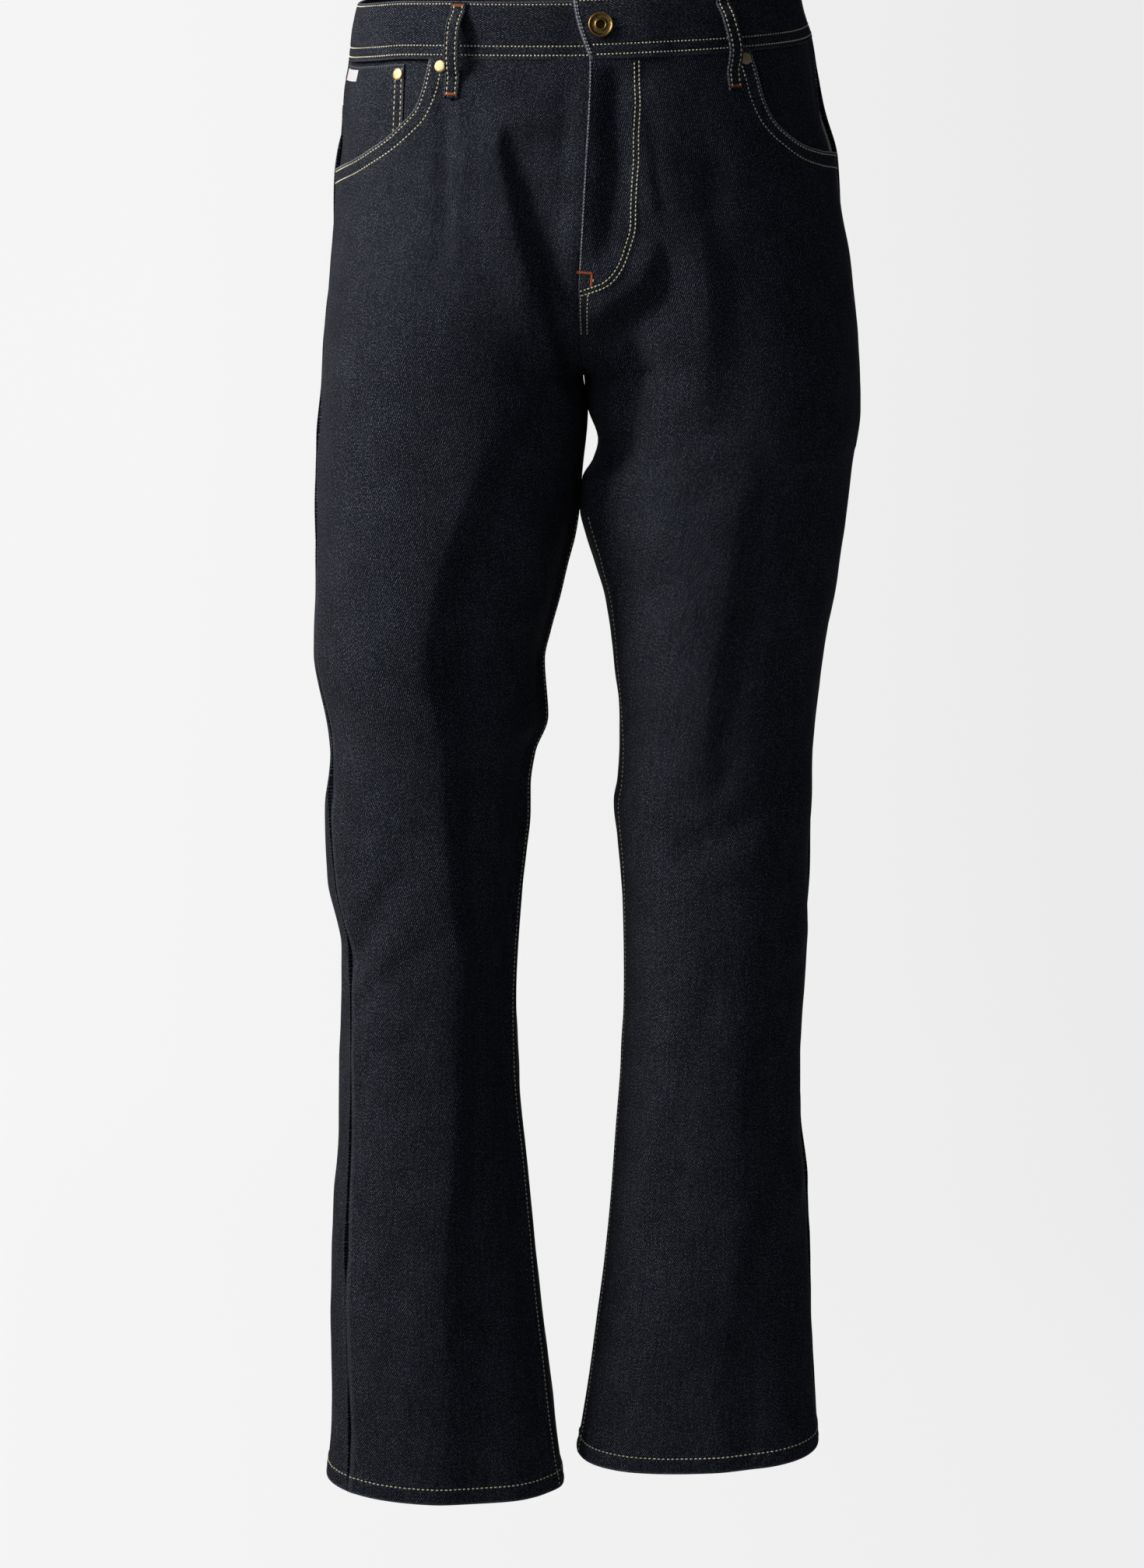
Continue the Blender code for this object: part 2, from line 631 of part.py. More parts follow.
def pocket_facing(leg, collection, finish):
    """The cloth in the pocket mouth: from the outseam to well behind the front."""
    cloth = CLOTH[leg, "front"]
    inner_edge = float(MOUTH_AT[leg](BAND_DROP)) + FACING_PAST
    top = BAND_DROP + BAND_GAP
    drops = np.linspace(top, FACING_BOTTOM, FACING_ROWS + 1)[:, None] * np.ones(FACING_COLUMNS + 1)
    reach = np.linspace(SEAM_GAP, inner_edge, FACING_COLUMNS + 1) * np.ones_like(drops)
    sink = facing_sink(reach, drops)
    outer = cloth.point(reach, drops, -sink)
    inner = cloth.point(reach, drops, -sink - WALL)
    return wall_from_grids("pocket_facing_" + leg, collection, finish, outer, inner)


def coin_pocket(collection, finish):
    cloth = CLOTH["right", "front"]
    drops = np.linspace(COIN_TOP, COIN_BOTTOM, COIN_ROWS + 1)[:, None] * np.ones(COIN_COLUMNS + 1)
    reach = np.linspace(COIN_OUTER, COIN_INNER, COIN_COLUMNS + 1) * np.ones_like(drops)
    rise = coin_rise(reach, drops)
    outer = cloth.point(reach, drops, rise)
    inner = cloth.point(reach, drops, rise - WALL)
    return wall_from_grids("coin_pocket", collection, finish, outer, inner)


def coin_pocket_tab(collection, finish):
    cloth = CLOTH["right", "front"]
    drops = np.linspace(TAB_TOP, TAB_TOP + TAB_HEIGHT, 3)[:, None] * np.ones(TAB_CELLS + 1)
    reach = np.linspace(TAB_REACH, TAB_REACH + TAB_WIDTH, TAB_CELLS + 1) * np.ones_like(drops)
    under = coin_rise(reach, drops) + TAB_GAP
    outer = cloth.point(reach, drops, under + TAB_WALL)
    inner = cloth.point(reach, drops, under)
    return wall_from_grids("coin_pocket_tab", collection, finish, outer, inner)


def fly_shield(collection, finish):
    """A strip behind the centre front, from just past the right edge to the fly stitching."""
    sink = WALL + LAYER_GAP
    grids = []
    for rise in (-sink, -sink - WALL):
        halves = []
        for leg, columns in (("left", SHIELD_LEFT), ("right", SHIELD_RIGHT)):
            reach, drops = front_cells(leg)
            rows = drops[:, -1] <= SHIELD_DROP
            halves.append(CLOTH[leg, "front"].point(reach[rows, -columns:], drops[rows, -columns:], rise))
        grids.append(np.concatenate([halves[0], halves[1][:, ::-1]], axis=1))
    return wall_from_grids("fly_shield", collection, finish, *grids)


def back_pocket(leg, collection, finish):
    """A five-sided patch, its points read from the back and moved out."""
    cloth = CLOTH[leg, "back"]
    u = np.linspace(-1, 1, PATCH_CELLS + 1)[None, :]
    v = np.linspace(0, 1, PATCH_CELLS + 1)[:, None]
    half = PATCH_TOP_HALF + (PATCH_BOTTOM_HALF - PATCH_TOP_HALF) * v
    aside = u * half
    fall = v * (PATCH_SIDE + PATCH_POINT * (1 - np.abs(u)))
    drops = PATCH_TOP - PATCH_TOP_SLOPE * aside + fall
    reach = -(cloth.width(drops) - PATCH_FROM_CENTRE - aside)
    outer = cloth.point(reach, drops, PATCH_GAP + WALL)
    inner = cloth.point(reach, drops, PATCH_GAP)
    return wall_from_grids("back_pocket_" + leg, collection, finish, outer, inner)


def waistband(collection, finish):
    """One strip round the waist: from its lower end under the left front, right round, to its upper end."""
    quarter = np.linspace(0, math.pi / 2, BAND_QUARTER + 1)
    under = turn_at("left", "front", np.linspace(UNDERLAP, 0, 5), 0.0)
    over = turn_at("left", "front", 0.6, 0.0)
    route = [("left", turn) for turn in under[:-1]]
    route += [("right", turn) for turn in quarter[::-1]]
    route += [("right", -turn) for turn in quarter[1:]]
    route += [("left", -turn) for turn in quarter[::-1][1:]]
    route += [("left", turn) for turn in np.linspace(0, over, BAND_QUARTER + 3)[1:]]
    last_under = len(under) - 2
    rows = {"outer": [], "inner": []}
    for i, (leg, turn) in enumerate(route):
        across = SIDE[leg] * float(OUTLINE_AT[leg](0.0) * signed_power(math.cos(turn), 2 / FRONT_SQUARE))
        shift = 0.0
        if turn > 0 and leg == "left" and i > last_under:
            shift = LAP * float(ease((LAP_START - across) / (LAP_START - LAP_END)))
        elif turn > 0:
            shift = -UNDERLAP_SINK * float(ease((across - UNDERLAP_START) / (UNDERLAP_END - UNDERLAP_START)))
        drops = np.array([0.0, BAND_DROP])
        points = plain_form(leg, turn, drops)
        small = math.radians(FINE_STEP)
        run = plain_form(leg, turn + small, drops) - plain_form(leg, turn - small, drops)
        out = np.stack([-run[:, 1], run[:, 0], np.zeros(2)], axis=1) * SIDE[leg]
        out = out / np.linalg.norm(out, axis=1, keepdims=True)
        rows["outer"].append(points + out * (BAND_PROUD + shift))
        rows["inner"].append(points + out * (shift - BAND_DEPTH))
    return wall_from_grids("waistband", collection, finish, np.array(rows["outer"]), np.array(rows["inner"]))


def belt_loop(name, rows_of_points, collection, finish):
    outer, inner = rows_of_points
    return wall_from_grids("belt_loop_" + name, collection, finish, outer, inner)


def loop_grids(cloth, reach_top, reach_bottom):
    """A loop's two faces: a narrow strip whose height off the form is read from LOOP_LIFT."""
    drops = np.array([row[0] for row in LOOP_LIFT], float)
    middle = reach_top + (reach_bottom - reach_top) * (drops - drops[0]) / (drops[-1] - drops[0])
    aside = np.array([-0.5, 0.0, 0.5]) * LOOP_WIDTH
    reach = middle[:, None] + aside
    level = drops[:, None] + np.zeros(3)
    lift = LIFT_AT(level)
    plain, out = cloth.plain(reach, level), cloth.normal(middle, drops)[:, None]
    return plain + out * (lift + LOOP_WALL)[..., None], plain + out * lift[..., None]


def centre_back_grids():
    """The centre-back loop, half of it on each side of the centre seam."""
    drops = np.array([row[0] for row in LOOP_LIFT], float)
    lift = LIFT_AT(drops)[:, None]
    out = np.array([0.0, 1.0, 0.0])
    columns = []
    for leg, aside in (("right", LOOP_WIDTH / 2), ("left", 0.0), ("left", LOOP_WIDTH / 2)):
        turn = turn_at(leg, "back", aside, drops)
        columns.append(plain_form(leg, turn, drops))
    plain = np.stack(columns, axis=1)
    plain[..., 1] = plain[:, 1:2, 1]
    return plain + out * (lift + LOOP_WALL)[..., None], plain + out * lift[..., None]


def turned_piece(name, profile, hole, place, out, collection, finish):
    """A Screw round the piece's own axis, from its hole or middle over the top to its flat underside."""
    mesh = bpy.data.meshes.new(name)
    points = [(hole, 0.0, 0.0)] if hole else [(0.0, 0.0, profile[0][1])]
    points += [(radius, 0.0, height) for radius, height in profile]
    closed = bool(hole)
    if not hole:
        points.append((0.0, 0.0, profile[-1][1]))
    edges = [(i, i + 1) for i in range(len(points) - 1)]
    if closed:
        edges.append((len(points) - 1, 0))
    mesh.from_pydata([Vector(point) * MM for point in points], edges, [])
    mesh.materials.append(finish)
    made = bpy.data.objects.new(name, mesh)
    collection.objects.link(made)
    screw = made.modifiers.new("turned", "SCREW")
    screw.steps = TURNED_STEPS
    screw.render_steps = TURNED_STEPS
    screw.use_merge_vertices = True
    screw.merge_threshold = 0.00001
    turn = Vector((0, 0, 1)).rotation_difference(Vector(out))
    made.matrix_world = Matrix.Translation(Vector(place) * MM) @ turn.to_matrix().to_4x4()
    return made


def button(collection, finish):
    """The waist button, seated on the waistband's upper end."""
    turn = turn_at("left", "front", BUTTON_ACROSS, 0.0)
    small = math.radians(FINE_STEP)
    top, bottom = plain_form("left", turn, np.array([0.0, BAND_DROP]))
    run = plain_form("left", turn + small, 0.0) - plain_form("left", turn - small, 0.0)
    out = np.cross(run, bottom - top)
    out = out / np.linalg.norm(out)
    place = top + (bottom - top) * BUTTON_DROP / BAND_DROP + out * (BAND_PROUD + LAP + SEAM_GAP)
    return turned_piece("waist_button", BUTTON_PROFILE, BUTTON_HOLE, place, out, collection, finish)


def rivet(row, collection, finish):
    data = dict(zip(RIVET_COLUMNS, row))
    cloth = CLOTH[data["leg"], "front"]
    reach, drop = np.array(data["reach"]), np.array(data["drop"])
    surface = float(coin_rise(reach, drop)) if data["sink"] else 0.0
    out = cloth.normal(reach, drop)
    place = cloth.point(reach, drop, surface + SEAM_GAP)
    return turned_piece("rivet_" + data["name"], RIVET_PROFILE, 0.0, place, out, collection, finish)


def clear_scene():
    for old in list(bpy.data.objects):
        bpy.data.objects.remove(old, do_unlink=True)


def main():
    clear_scene()
    collection = bpy.data.collections.new("straight_leg_jeans")
    bpy.context.scene.collection.children.link(collection)
    denim = material("indigo_denim", (0.012, 0.016, 0.024), 0.85, 0.0)
    woven = material("grey_woven_tab", (0.32, 0.32, 0.38), 0.8, 0.0)
    brass = material("antique_brass", (0.30, 0.20, 0.06), 0.38, 1.0)
    pale_brass = material("pale_brass", (0.70, 0.58, 0.30), 0.35, 1.0)
    for leg in SIDE:
        front_panel(leg, collection, denim)
        back_panel(leg, collection, denim)
        yoke(leg, collection, denim)
        pocket_facing(leg, collection, denim)
        back_pocket(leg, collection, denim)
    waistband(collection, denim)
    fly_shield(collection, denim)
    coin_pocket(collection, denim)
    coin_pocket_tab(collection, woven)
    for name, leg, reach_top, reach_bottom in LOOPS:
        cloth = CLOTH[leg, "front" if reach_top > 0 else "back"]
        belt_loop(name, loop_grids(cloth, reach_top, reach_bottom), collection, denim)
    belt_loop("back", centre_back_grids(), collection, denim)
    button(collection, brass)
    for row in RIVETS:
        rivet(row, collection, pale_brass)


main()
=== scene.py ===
"""Straight leg jeans in their worn shape: finished cloth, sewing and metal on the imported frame.

Frame: +Z up, the garment faces -Y and the wearer's left is +X. The origin is the middle of the waist
opening, level with the top of the waistband. Words used all through:
- drop: distance below the waistband's top edge
- across: distance from the centre plane
- turn: angle round a leg, 0 at its outermost line, a quarter turn at the front, a half turn innermost
- reach: length of cloth from the outseam, plus towards the front and minus towards the back
- rise: distance out of the garment's plain form
Lengths are in millimetres and scaled by MM when they go into a mesh.
"""

import math

import bpy
import numpy as np
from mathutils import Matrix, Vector


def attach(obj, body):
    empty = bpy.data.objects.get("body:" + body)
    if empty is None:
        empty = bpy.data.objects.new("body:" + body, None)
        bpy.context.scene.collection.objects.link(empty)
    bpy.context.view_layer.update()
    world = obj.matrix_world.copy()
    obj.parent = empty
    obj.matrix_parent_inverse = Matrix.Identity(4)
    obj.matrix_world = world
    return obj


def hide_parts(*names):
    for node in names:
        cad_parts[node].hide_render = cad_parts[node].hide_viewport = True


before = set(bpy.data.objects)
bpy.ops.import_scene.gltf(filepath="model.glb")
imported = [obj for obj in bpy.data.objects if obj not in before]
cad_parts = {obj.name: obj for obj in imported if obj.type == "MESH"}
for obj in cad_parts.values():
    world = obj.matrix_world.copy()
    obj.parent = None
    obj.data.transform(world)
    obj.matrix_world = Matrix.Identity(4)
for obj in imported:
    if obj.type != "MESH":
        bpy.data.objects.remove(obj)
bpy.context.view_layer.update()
MM = 0.001

# Cloth and seams
WALL = 1.2  # one layer of 13 oz denim
SEAM_GAP = 0.3  # clear space left between pieces that face each other
SEAM_MEET = -0.3  # panels sewn edge to edge run this far into each other, so no light gets through
LAYER_GAP = 0.7  # clear space between the fronts and the fly shield behind them
FINE_STEP = 0.5  # step used to measure slopes of the form
RIM = 0.9  # radius of a folded or cut edge
RIM_STOPS = np.array([0.0, 0.06, 0.22, 0.5, 0.9, 1.5])  # a grid's first stops, which round its rim
FAR = 40.0  # a distance at which a row of stitches leaves no mark

# Heights, as drops below the top of the waistband
BAND_DROP = 41.0  # lower edge of the waistband
CROTCH_DROP = 277.0  # where the four leg panels meet
HEM_DROP = 1083.0  # finished leg end
HEM_DEPTH = 13.0  # turned-up hem
HEM_EXTRA = 0.6  # how much prouder and deeper the turned-up hem is on each face
YOKE_SIDE, YOKE_CENTRE = 74.0, 104.0  # yoke seam at the outseam and at the centre back
YOKE_FADE = 205.0  # drop by which the back's rows have levelled out again
FRONT_LEVEL = 146.0  # drop from which the fronts' rows are level
LEAST_FALL = 26.0  # about the length of a front between there and its mouth's lowest part
STEEP_FROM = 0.84  # share of the mouth's reach from which columns are close, as it is steep there
HEM_GRID = 16.0  # length of leg end over which rows are close together

# How the waist sits: it dips to the front and to the wearer's right
WAIST_DIP = 0.135  # rise per unit towards the back
WAIST_LIST = 0.053  # rise per unit towards the wearer's left
# The front of the waist also waves a little: distance from the centre plane, then how much it rises there
WAIST_WAVE_COLUMNS = ("across", "wave")
WAIST_WAVE = (
    (-170, 0.0),
    (-147, 2.4),
    (-126, 4.0),
    (-100, 3.6),
    (-70, 2.3),
    (-30, 0.5),
    (0, -0.5),
    (50, -1.3),
    (100, -1.8),
    (156, -2.0),
    (175, -1.2),
)
WAVE_REACH = 60.0  # how far in front of the side line it has grown to full size
WAVE_FADE = 70.0  # depth below the waistband over which it dies away
CENTRE_LEAN = ((0, 1.0), (BAND_DROP, 3.5), (150, -1.0), (225, -4.0), (CROTCH_DROP, 0.0))
LEAN_REACH = 70.0  # how far round the front the leaning centre line is felt

# Each leg below the crotch: leg end lower or higher than nominal, tilt of the hem, step backward
STANCE_COLUMNS = ("leg", "hem_lift", "hem_tilt_out", "hem_tilt_back", "stride")
STANCE = (
    ("right", -10.0, 0.035, 0.18, -12.0),
    ("left", 9.0, 0.035, 0.20, 8.0),
)

# Outermost line of each side, all the way down
OUTLINE_COLUMNS = ("drop", "right", "left")
OUTLINE = (
    (0, 161.5, 152.5),
    (20, 165.5, 156.5),
    (41, 168.5, 163.5),
    (62, 171.5, 167.0),
    (90, 174.0, 172.0),
    (123, 179.0, 182.5),
    (160, 180.5, 186.5),
    (205, 184.0, 194.0),
    (250, 188.5, 199.0),
    (300, 191.5, 201.5),
    (345, 195.0, 195.0),
    (390, 195.5, 189.5),
    (435, 196.0, 184.0),
    (476, 197.0, 177.0),
    (543, 186.5, 169.5),
    (590, 190.0, 167.6),
    (640, 188.0, 166.5),
    (690, 179.0, 166.0),
    (790, 180.0, 161.5),
    (835, 182.0, 162.0),
    (885, 185.5, 167.0),
    (934, 187.5, 169.0),
    (1027, 187.5, 172.5),
    (1083, 190.5, 176.5),
)

# Innermost line of each leg below the crotch; a minus sign reaches past the centre plane
INSIDE_COLUMNS = ("drop", "right", "left")
INSIDE = (
    (277, 0.3, 0.3),
    (300, -2.6, 3.2),
    (323, -1.2, 10.8),
    (337, 0.2, 7.0),
    (350, 1.4, -1.0),
    (362, 2.2, -2.5),
    (373, 3.2, -3.4),
    (390, 5.7, 0.4),
    (412, 11.5, 8.0),
    (435, 17.0, 16.0),
    (460, 24.0, 20.0),
    (481, 28.5, 22.0),
    (522, 26.0, 26.0),
    (548, 35.5, 27.0),
    (573, 39.0, 26.0),
    (590, 39.0, 23.5),
    (619, 42.0, 26.0),
    (645, 45.0, 28.0),
    (735, 50.0, 30.0),
    (790, 48.0, 28.0),
    (835, 43.0, 24.5),
    (885, 38.0, 21.0),
    (934, 33.5, 16.5),
    (981, 28.0, 10.5),
    (1027, 23.0, 4.5),
    (1083, 15.0, -4.5),
)

# Side view: how far the cloth stands to the front and back of the centre, and where it is widest
DEPTH_COLUMNS = ("drop", "front", "back", "widest")
DEPTH = (
    (0, 117.0, 119.0, 0.0),
    (41, 121.0, 125.0, 0.0),
    (100, 126.0, 138.0, 3.0),
    (165, 126.0, 149.0, 8.0),
    (205, 123.0, 150.0, 10.0),
    (240, 118.0, 144.0, 12.0),
    (277, 111.0, 130.0, 12.0),
    (322, 104.0, 116.0, 9.0),
    (390, 98.0, 104.0, 5.0),
    (476, 87.0, 91.0, 4.0),
    (543, 77.0, 82.0, 5.0),
    (590, 70.0, 79.0, 6.0),
    (640, 66.0, 83.0, 8.0),
    (750, 58.0, 91.0, 16.0),
    (841, 53.0, 86.0, 16.0),
    (934, 49.0, 77.0, 14.0),
    (1027, 45.0, 65.0, 10.0),
    (1083, 43.0, 58.0, 8.0),
)

# Above the crotch the two halves share one outline: 1 is a plain oval, 0 is two separate legs
JOIN_COLUMNS = ("drop", "join")
JOIN = (
    (0, 1.0),
    (45, 1.0),
    (100, 0.93),
    (150, 0.80),
    (185, 0.60),
    (215, 0.38),
    (240, 0.215),
    (258, 0.115),
    (270, 0.043),
    (277, 0.0),
)
FRONT_SQUARE = 2.3  # superellipse exponents of the sections, 2 being a true ellipse
BACK_SQUARE = 2.15

# Where the seams run round each leg, in degrees of turn away from its outermost or innermost line,
# plus towards the front
SEAM_COLUMNS = ("drop", "right_outseam", "left_outseam", "right_inseam", "left_inseam")
SEAMS = (
    (0, 0, 0, 0, 0),
    (250, 4, -4, 0, 0),
    (277, 6, -5, 0, 0),
    (345, 11, -8, 0, 18),
    (398, 14, -8, 0, 20),
    (435, 16, -8, 0, 14),
    (590, 24, -8, 1, 10),
    (690, 33, -8, 3, 8),
    (800, 34, -8, 5, 4),
    (1083, 38, -8, 8, 4),
)

# Front pocket mouths: the reach of the folded edge at each drop
MOUTH_COLUMNS = ("drop", "right", "left")
MOUTH = (
    (41, 121.0, 112.0),
    (57, 120.0, 111.5),
    (74, 116.5, 112.0),
    (86, 106.0, 110.0),
    (96, 94.0, 106.0),
    (104, 80.0, 99.0),
    (112, 61.0, 87.0),
    (117, 40.0, 66.0),
    (120, 20.0, 34.0),
    (122, 0.0, 0.0),
)
MOUTH_END = 122.0

# The folds. Each runs from its first to its second end; a minus rise is a trough. Its middle bows off the
# straight line, plus towards the centre front, or upwards on a level fold. Its lip is a ridge thrown up
# along its plus side, or its minus side where the lip is written below 0, as a share of the rise.
FOLD_COLUMNS = (
    "leg", "reach_1", "drop_1", "reach_2", "drop_2", "bow", "rise_1", "rise_2", "width_1", "width_2", "lip",
)
FOLDS = (
    ("right", 136, 62, 152, 185, 4, -3.2, -2.2, 6, 8, 0.4),  # under the pocket mouth
    ("right", 6, 690, 62, 628, 0, -3.5, -2.5, 11, 11, 0.3),  # outside of the knee
    ("right", -20, 560, 40, 598, 0, -3.0, -2.0, 11, 10, 0.3),
    ("left", 70, 560, 150, 612, -6, -3.0, -2.0, 12, 12, 0.3),
    ("right", -262, 262, -110, 338, -10, -6.0, -3.0, 14, 12, 0.3),  # under the seat
    ("left", -262, 264, -115, 330, -12, -5.5, -3.0, 13, 13, 0.3),
    ("right", -240, 312, -95, 396, -8, -4.0, -2.5, 12, 12, 0.3),
    ("left", -236, 300, -120, 388, -10, -4.5, -2.0, 12, 12, 0.3),
    ("right", -205, 556, -60, 576, -6, -4.5, -3.0, 11, 11, 0.3),  # back of the knee
    ("left", -200, 570, -50, 590, -6, -4.0, -3.0, 11, 11, 0.3),
    ("right", -196, 610, -75, 640, 6, -4.0, -2.5, 11, 11, 0.3),
    ("left", -190, 626, -70, 652, 6, -4.0, -2.5, 11, 11, 0.3),
    ("right", -60, 760, -130, 1010, 12, -3.0, -3.5, 15, 18, 0.2),  # back of the calf
    ("left", -70, 740, -120, 980, -12, -3.0, -3.5, 15, 18, 0.2),
    # smaller creases
    ("right", 168, 150, 206, 232, -4, -1.0, -0.8, 8, 8, 0.5),
    ("right", 226, 70, 243, 150, 0, -1.8, -1.4, 9, 9, 0.2),
    ("right", 20, 640, 84, 596, 4, -1.2, -0.8, 7, 7, 0.5),
    ("right", 10, 726, 70, 676, 3, -1.4, -0.8, 7, 8, 0.5),
    ("right", 14, 770, 62, 736, 3, -0.9, -0.6, 7, 8, 0.5),
    ("right", 140, 610, 176, 650, 0, -1.2, -0.8, 8, 8, 0.4),
    ("right", 46, 880, 30, 1010, 5, -0.8, -0.9, 9, 10, 0.4),
    ("right", 30, 430, 60, 500, 4, -0.9, -0.8, 9, 9, 0.5),
    ("left", 168, 130, 182, 196, 3, -0.9, -0.7, 8, 8, 0.5),
    ("left", 262, 372, 238, 440, 2, -1.2, -0.9, 8, 8, 0.4),
    ("left", 60, 612, 128, 566, 4, -1.1, -0.8, 7, 8, 0.5),
    ("left", 84, 660, 142, 620, -3, -1.0, -0.9, 8, 8, 0.5),
    ("left", 30, 700, 74, 742, 4, -1.0, -0.9, 9, 9, 0.4),
    ("left", 132, 720, 150, 880, 5, -1.2, -1.2, 11, 13, 0.4),
    ("left", 22, 880, 66, 990, 5, -1.0, -1.2, 9, 10, 0.4),
    ("right", -30, 190, -70, 330, 8, -1.4, -1.6, 12, 13, 0.3),
    ("left", -26, 200, -64, 340, -8, -1.4, -1.6, 12, 13, 0.3),
    ("right", -220, 352, -120, 430, -6, -1.6, -1.1, 9, 9, 0.4),
    ("left", -214, 344, -130, 424, -6, -1.6, -1.1, 9, 9, 0.4),
    ("right", -190, 582, -90, 600, 3, -1.5, -1.2, 7, 7, 0.5),
    ("left", -184, 598, -84, 612, 3, -1.5, -1.2, 7, 7, 0.5),
    ("right", -150, 660, -60, 700, 4, -1.2, -0.9, 9, 9, 0.4),
    ("left", -146, 676, -56, 712, 4, -1.2, -0.9, 9, 9, 0.4),
)

# Drapes: long folds of the fronts with a crisp crest, a wall that falls from it on one side and a slow way
# back. Each has its leg, the side it falls to (1 towards the centre front), the width of its way back, and
# its crest's stations from the top down: reach, drop, depth, width of the wall.
DRAPES = (
    ("right", 1, 26.0, (  # hip to crotch
        (181, 86, 0.0, 5.0),
        (184, 104, 6.0, 9.0),
        (193, 131, 9.0, 12.0),
        (206, 175, 11.5, 15.5),
        (222, 215, 12.5, 16.0),
        (233, 245, 13.0, 17.0),
        (243, 268, 9.5, 18.0),
        (258, 292, 0.0, 18.0),
    )),
    ("right", 1, 120.0, (  # across the inner thigh, then down the leg
        (240, 268, 0.0, 10.0),
        (222, 282, 5.0, 15.0),
        (201, 299, 9.0, 20.0),
        (178, 326, 11.0, 22.0),
        (158, 356, 11.5, 24.0),
        (134, 396, 12.0, 27.0),
        (113, 448, 12.0, 30.0),
        (104, 503, 12.0, 28.0),
        (103, 556, 12.0, 24.0),
        (101, 611, 12.0, 21.0),
        (96, 665, 12.0, 19.0),
        (90, 774, 12.0, 19.0),
        (82, 888, 12.0, 23.0),
        (76, 1005, 9.0, 34.0),
        (70, 1083, 5.0, 36.0),
    )),
    ("left", -1, 14.0, (  # beside the fly down to the crotch
        (225, 174, 0.0, 7.0),
        (232, 191, 6.0, 9.0),
        (244, 208, 9.5, 14.0),
        (269, 223, 10.5, 20.0),
        (290, 239, 9.5, 20.0),
        (302, 252, 5.0, 14.0),
    )),
    ("left", -1, 20.0, (  # inner thigh
        (266, 240, 0.0, 6.0),
        (275, 261, 8.5, 14.0),
        (286, 289, 11.0, 18.0),
        (290, 311, 9.0, 18.0),
        (287, 348, 0.0, 14.0),
    )),
    ("left", -1, 100.0, (  # beside the inseam
        (288, 316, 0.0, 24.0),
        (290, 345, 5.0, 32.0),
        (284, 385, 6.0, 34.0),
        (268, 430, 4.0, 32.0),
        (256, 480, 0.0, 28.0),
    )),
    ("left", -1, 14.0, (  # down the fly
        (228, 40, 6.0, 14.0),
        (252, 111, 8.0, 16.0),
        (261, 139, 7.0, 15.0),
        (271, 171, 4.5, 12.0),
        (279, 194, 0.0, 9.0),
    )),
    ("left", -1, 6.0, (  # outside the fly stitching
        (200, 70, 0.0, 5.0),
        (210, 100, 1.6, 5.0),
        (218, 131, 2.4, 5.0),
        (219, 149, 2.2, 5.0),
        (220, 168, 0.0, 5.0),
    )),
    ("left", -1, 34.0, (  # from the fly stitching towards the pocket
        (196, 62, 0.0, 36.0),
        (201, 86, 3.5, 38.0),
        (208, 120, 4.5, 38.0),
        (211, 150, 3.5, 34.0),
        (213, 178, 0.0, 30.0),
    )),
    ("left", -1, 45.0, (  # thigh
        (188, 160, 0.0, 14.0),
        (194, 195, 4.5, 16.0),
        (201, 229, 5.5, 18.0),
        (207, 273, 4.5, 22.0),
        (212, 320, 0.0, 26.0),
    )),
    ("left", -1, 40.0, (  # knee
        (161, 335, 0.0, 16.0),
        (164, 372, 4.5, 19.0),
        (161, 416, 6.5, 20.0),
        (157, 454, 7.0, 20.0),
        (153, 506, 6.0, 20.0),
        (149, 551, 4.5, 20.0),
        (147, 592, 0.0, 20.0),
    )),
    ("left", -1, 22.0, (  # calf to hem
        (86, 600, 0.0, 20.0),
        (94, 665, 3.5, 20.0),
        (103, 733, 4.5, 22.0),
        (103, 790, 5.0, 24.0),
        (101, 908, 6.0, 28.0),
        (112, 995, 5.5, 28.0),
        (113, 1083, 3.0, 28.0),
    )),
)
DRAPE_LIP = 0.25  # height of the ridge that stands along a crest, as a share of its depth
SEAM_CALM = 20.0  # folds die away over this length beside the inner seams
TOP_CALM = 22.0  # and below the waistband

# Soft unevenness of the whole cloth: size of the lumps, their height and their noise's seed
LUMPS = (
    (64.0, 1.3, 11),
    (31.0, 0.55, 12),
    (15.0, 0.22, 13),
)

# Topstitching
STITCH_PITCH, STITCH_LENGTH = 3.4, 2.2
BAND_PITCH, MOUTH_PITCH = 2.6, 3.0  # the waistband's and the pocket mouths' are closer
EDGE_PITCH = 2.3  # rows sewn right on an edge
THREAD = 0.52  # half its width as it lies on the cloth
FINE_THREAD = 0.34  # the same for bartacks
STITCH_SIDES = 6
STITCH_FLAT, TIP_REACH, TIP_DIP = 0.8, 0.4, 0.22  # height to width, and how its tips run on and dip
# One stitch lying on the cloth: along its length, then half width and height above the cloth
STITCH_RINGS = np.array([
    (-1.0, 0.35, -0.10),
    (-0.72, 0.85, 0.16),
    (0.0, 1.0, 0.30),
    (0.72, 0.85, 0.16),
    (1.0, 0.35, -0.10),
])
